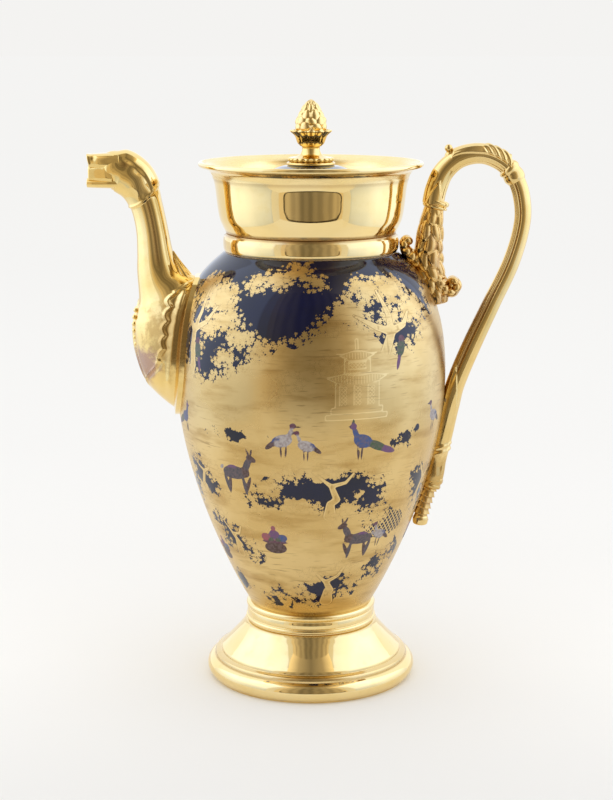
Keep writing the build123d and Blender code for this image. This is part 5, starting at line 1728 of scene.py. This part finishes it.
half_up = (0, 0, HIGH / 2)
for side in (-1, 1):
    x, number = side * SIDE, side + 1
    centre, half_long = (x, (CORNER + BACK) / 2, HIGH / 2), (0, (BACK - CORNER) / 2, 0)
    panel(f"side_light_{number}", centre, half_long, half_up, COOL_WHITE, side_shade)
    centre, half_long = (x, (FRONT + CORNER) / 2, HIGH / 2), (0, (CORNER - FRONT) / 2, 0)
    panel(f"side_frame_{number}", centre, half_long, half_up, PLAIN_WHITE, frame_shade)
panel("camera_opening", (0, FRONT, HIGH / 2), (SIDE, 0, 0), half_up, DUSK, opening_shade)
centre, half_long = (0, (FRONT + CEILING_BACK) / 2, HIGH), (0, (CEILING_BACK - FRONT) / 2, 0)
panel("ceiling", centre, (SIDE, 0, 0), half_long, DUSK, ceiling_shade)

# %% [markdown]
# ### Air
# The air round the set gives the soft light that reaches everything. It has three shades: one
# lights the pot, one is what the camera sees as background, and a cooler and brighter one shows
# in reflections. A light path node tells which kind of ray is asking.

# %% Air
world = bpy.data.worlds.new("studio_air")
bpy.context.scene.world = world
world.use_nodes = True
air_tree = world.node_tree
air_tree.nodes.clear()
air_output = air_tree.nodes.new("ShaderNodeOutputWorld")
ray = air_tree.nodes.new("ShaderNodeLightPath")
AIR_LIGHT, AIR_SEEN, AIR_MIRRORED = (1.05, 1.05, 1.05, 1), (0.905, 0.897, 0.880, 1), (1.15, 1.22, 1.35, 1)


def air(colour):
    """One colour of the surrounding air."""
    shade = air_tree.nodes.new("ShaderNodeBackground")
    shade.inputs[0].default_value = colour
    return shade.outputs[0]


def choose(ray_kind, otherwise, chosen):
    """One shade where the ray is of a kind, and another elsewhere."""
    mixer = air_tree.nodes.new("ShaderNodeMixShader")
    air_tree.links.new(ray.outputs[ray_kind], mixer.inputs[0])
    air_tree.links.new(otherwise, mixer.inputs[1])
    air_tree.links.new(chosen, mixer.inputs[2])
    return mixer.outputs[0]


lit = choose("Is Glossy Ray", air(AIR_LIGHT), air(AIR_MIRRORED))
air_tree.links.new(choose("Is Camera Ray", lit, air(AIR_SEEN)), air_output.inputs[0])
print("air:", world.name)

# %% [markdown]
# ### Table
# The pot stands on white paper that curves up far behind, so no horizon shows. A flat table
# does the same when its colour runs from white near the pot to the shade of the air far away,
# both to the back and to the sides. Close round the pot the paper is whitest: painted light
# that lifts the pot's own shadow.

# %% Table
table_finish, table_output = new_finish("white_table")
# Paper colour by distance back: whitest round the pot as painted light, fading to the air's shade far off.
TABLE_GLOW_AND_FADE = [
    (-0.5, 0.87), (-0.16, 0.885), (-0.08, 0.95), (0.0, 0.985), (0.06, 0.975), (0.2, 0.93), (0.5, 0.90),
    (1.6, 0.872), (6.0, 0.862),
]
falloff = by_place(table_finish, 1, TABLE_GLOW_AND_FADE)
TABLE_FAR, FADE_START, FADE_END, TABLE_HALF = 0.866, 0.25, 1.0, 30.0
BLACK, PAPER = (0, 0, 0, 1), (1.0, 0.994, 0.978, 1)
off_side = math_node(table_finish, "ABSOLUTE", place_parts(table_finish)[0])
beside = spread(table_finish, off_side, FADE_START, FADE_END)
to_far = math_node(table_finish, "SUBTRACT", TABLE_FAR, falloff)
falloff = math_node(table_finish, "MULTIPLY_ADD", to_far, beside, falloff)
table_colour = add_node(table_finish, "ShaderNodeMix", [("Factor", falloff)], data_type="RGBA")
table_colour.inputs[6].default_value = BLACK
table_colour.inputs[7].default_value = PAPER
table_shader = add_node(table_finish, "ShaderNodeBsdfDiffuse", [("Color", table_colour.outputs[2])])
table_finish.node_tree.links.new(table_shader.outputs[0], table_output.inputs[0])
table_bm = bmesh.new()
bmesh.ops.create_grid(table_bm, x_segments=1, y_segments=1, size=TABLE_HALF)
table_mesh = bpy.data.meshes.new("table")
table_bm.to_mesh(table_mesh)
table_bm.free()
table_mesh.materials.append(table_finish)
table = bpy.data.objects.new("table", table_mesh)
bpy.context.scene.collection.objects.link(table)
print("table:", 2 * TABLE_HALF, "m wide")

# %% [markdown]
# ### Camera
# The lens and the place come from the ellipses that foot and brim make in the photograph: how
# flat they look gives the angle from above, and their sizes give the distance. The plain
# standard view keeps whites as the light sets them.

# %% Camera
LENS, SENSOR, LOOK_DOWN, CAMERA_PLACE = 80.1, 36, 11.5, (-0.0021, -0.8429, 0.3078)
camera_data = bpy.data.cameras.new("camera")
camera_data.sensor_width = SENSOR
camera_data.lens = LENS
camera = bpy.data.objects.new("camera", camera_data)
camera.location = CAMERA_PLACE
camera.rotation_euler = (math.radians(90 - LOOK_DOWN), 0, 0)
bpy.context.scene.collection.objects.link(camera)
bpy.context.scene.camera = camera
bpy.context.scene.view_settings.view_transform = "Standard"
print("camera lens in mm:", camera_data.lens)
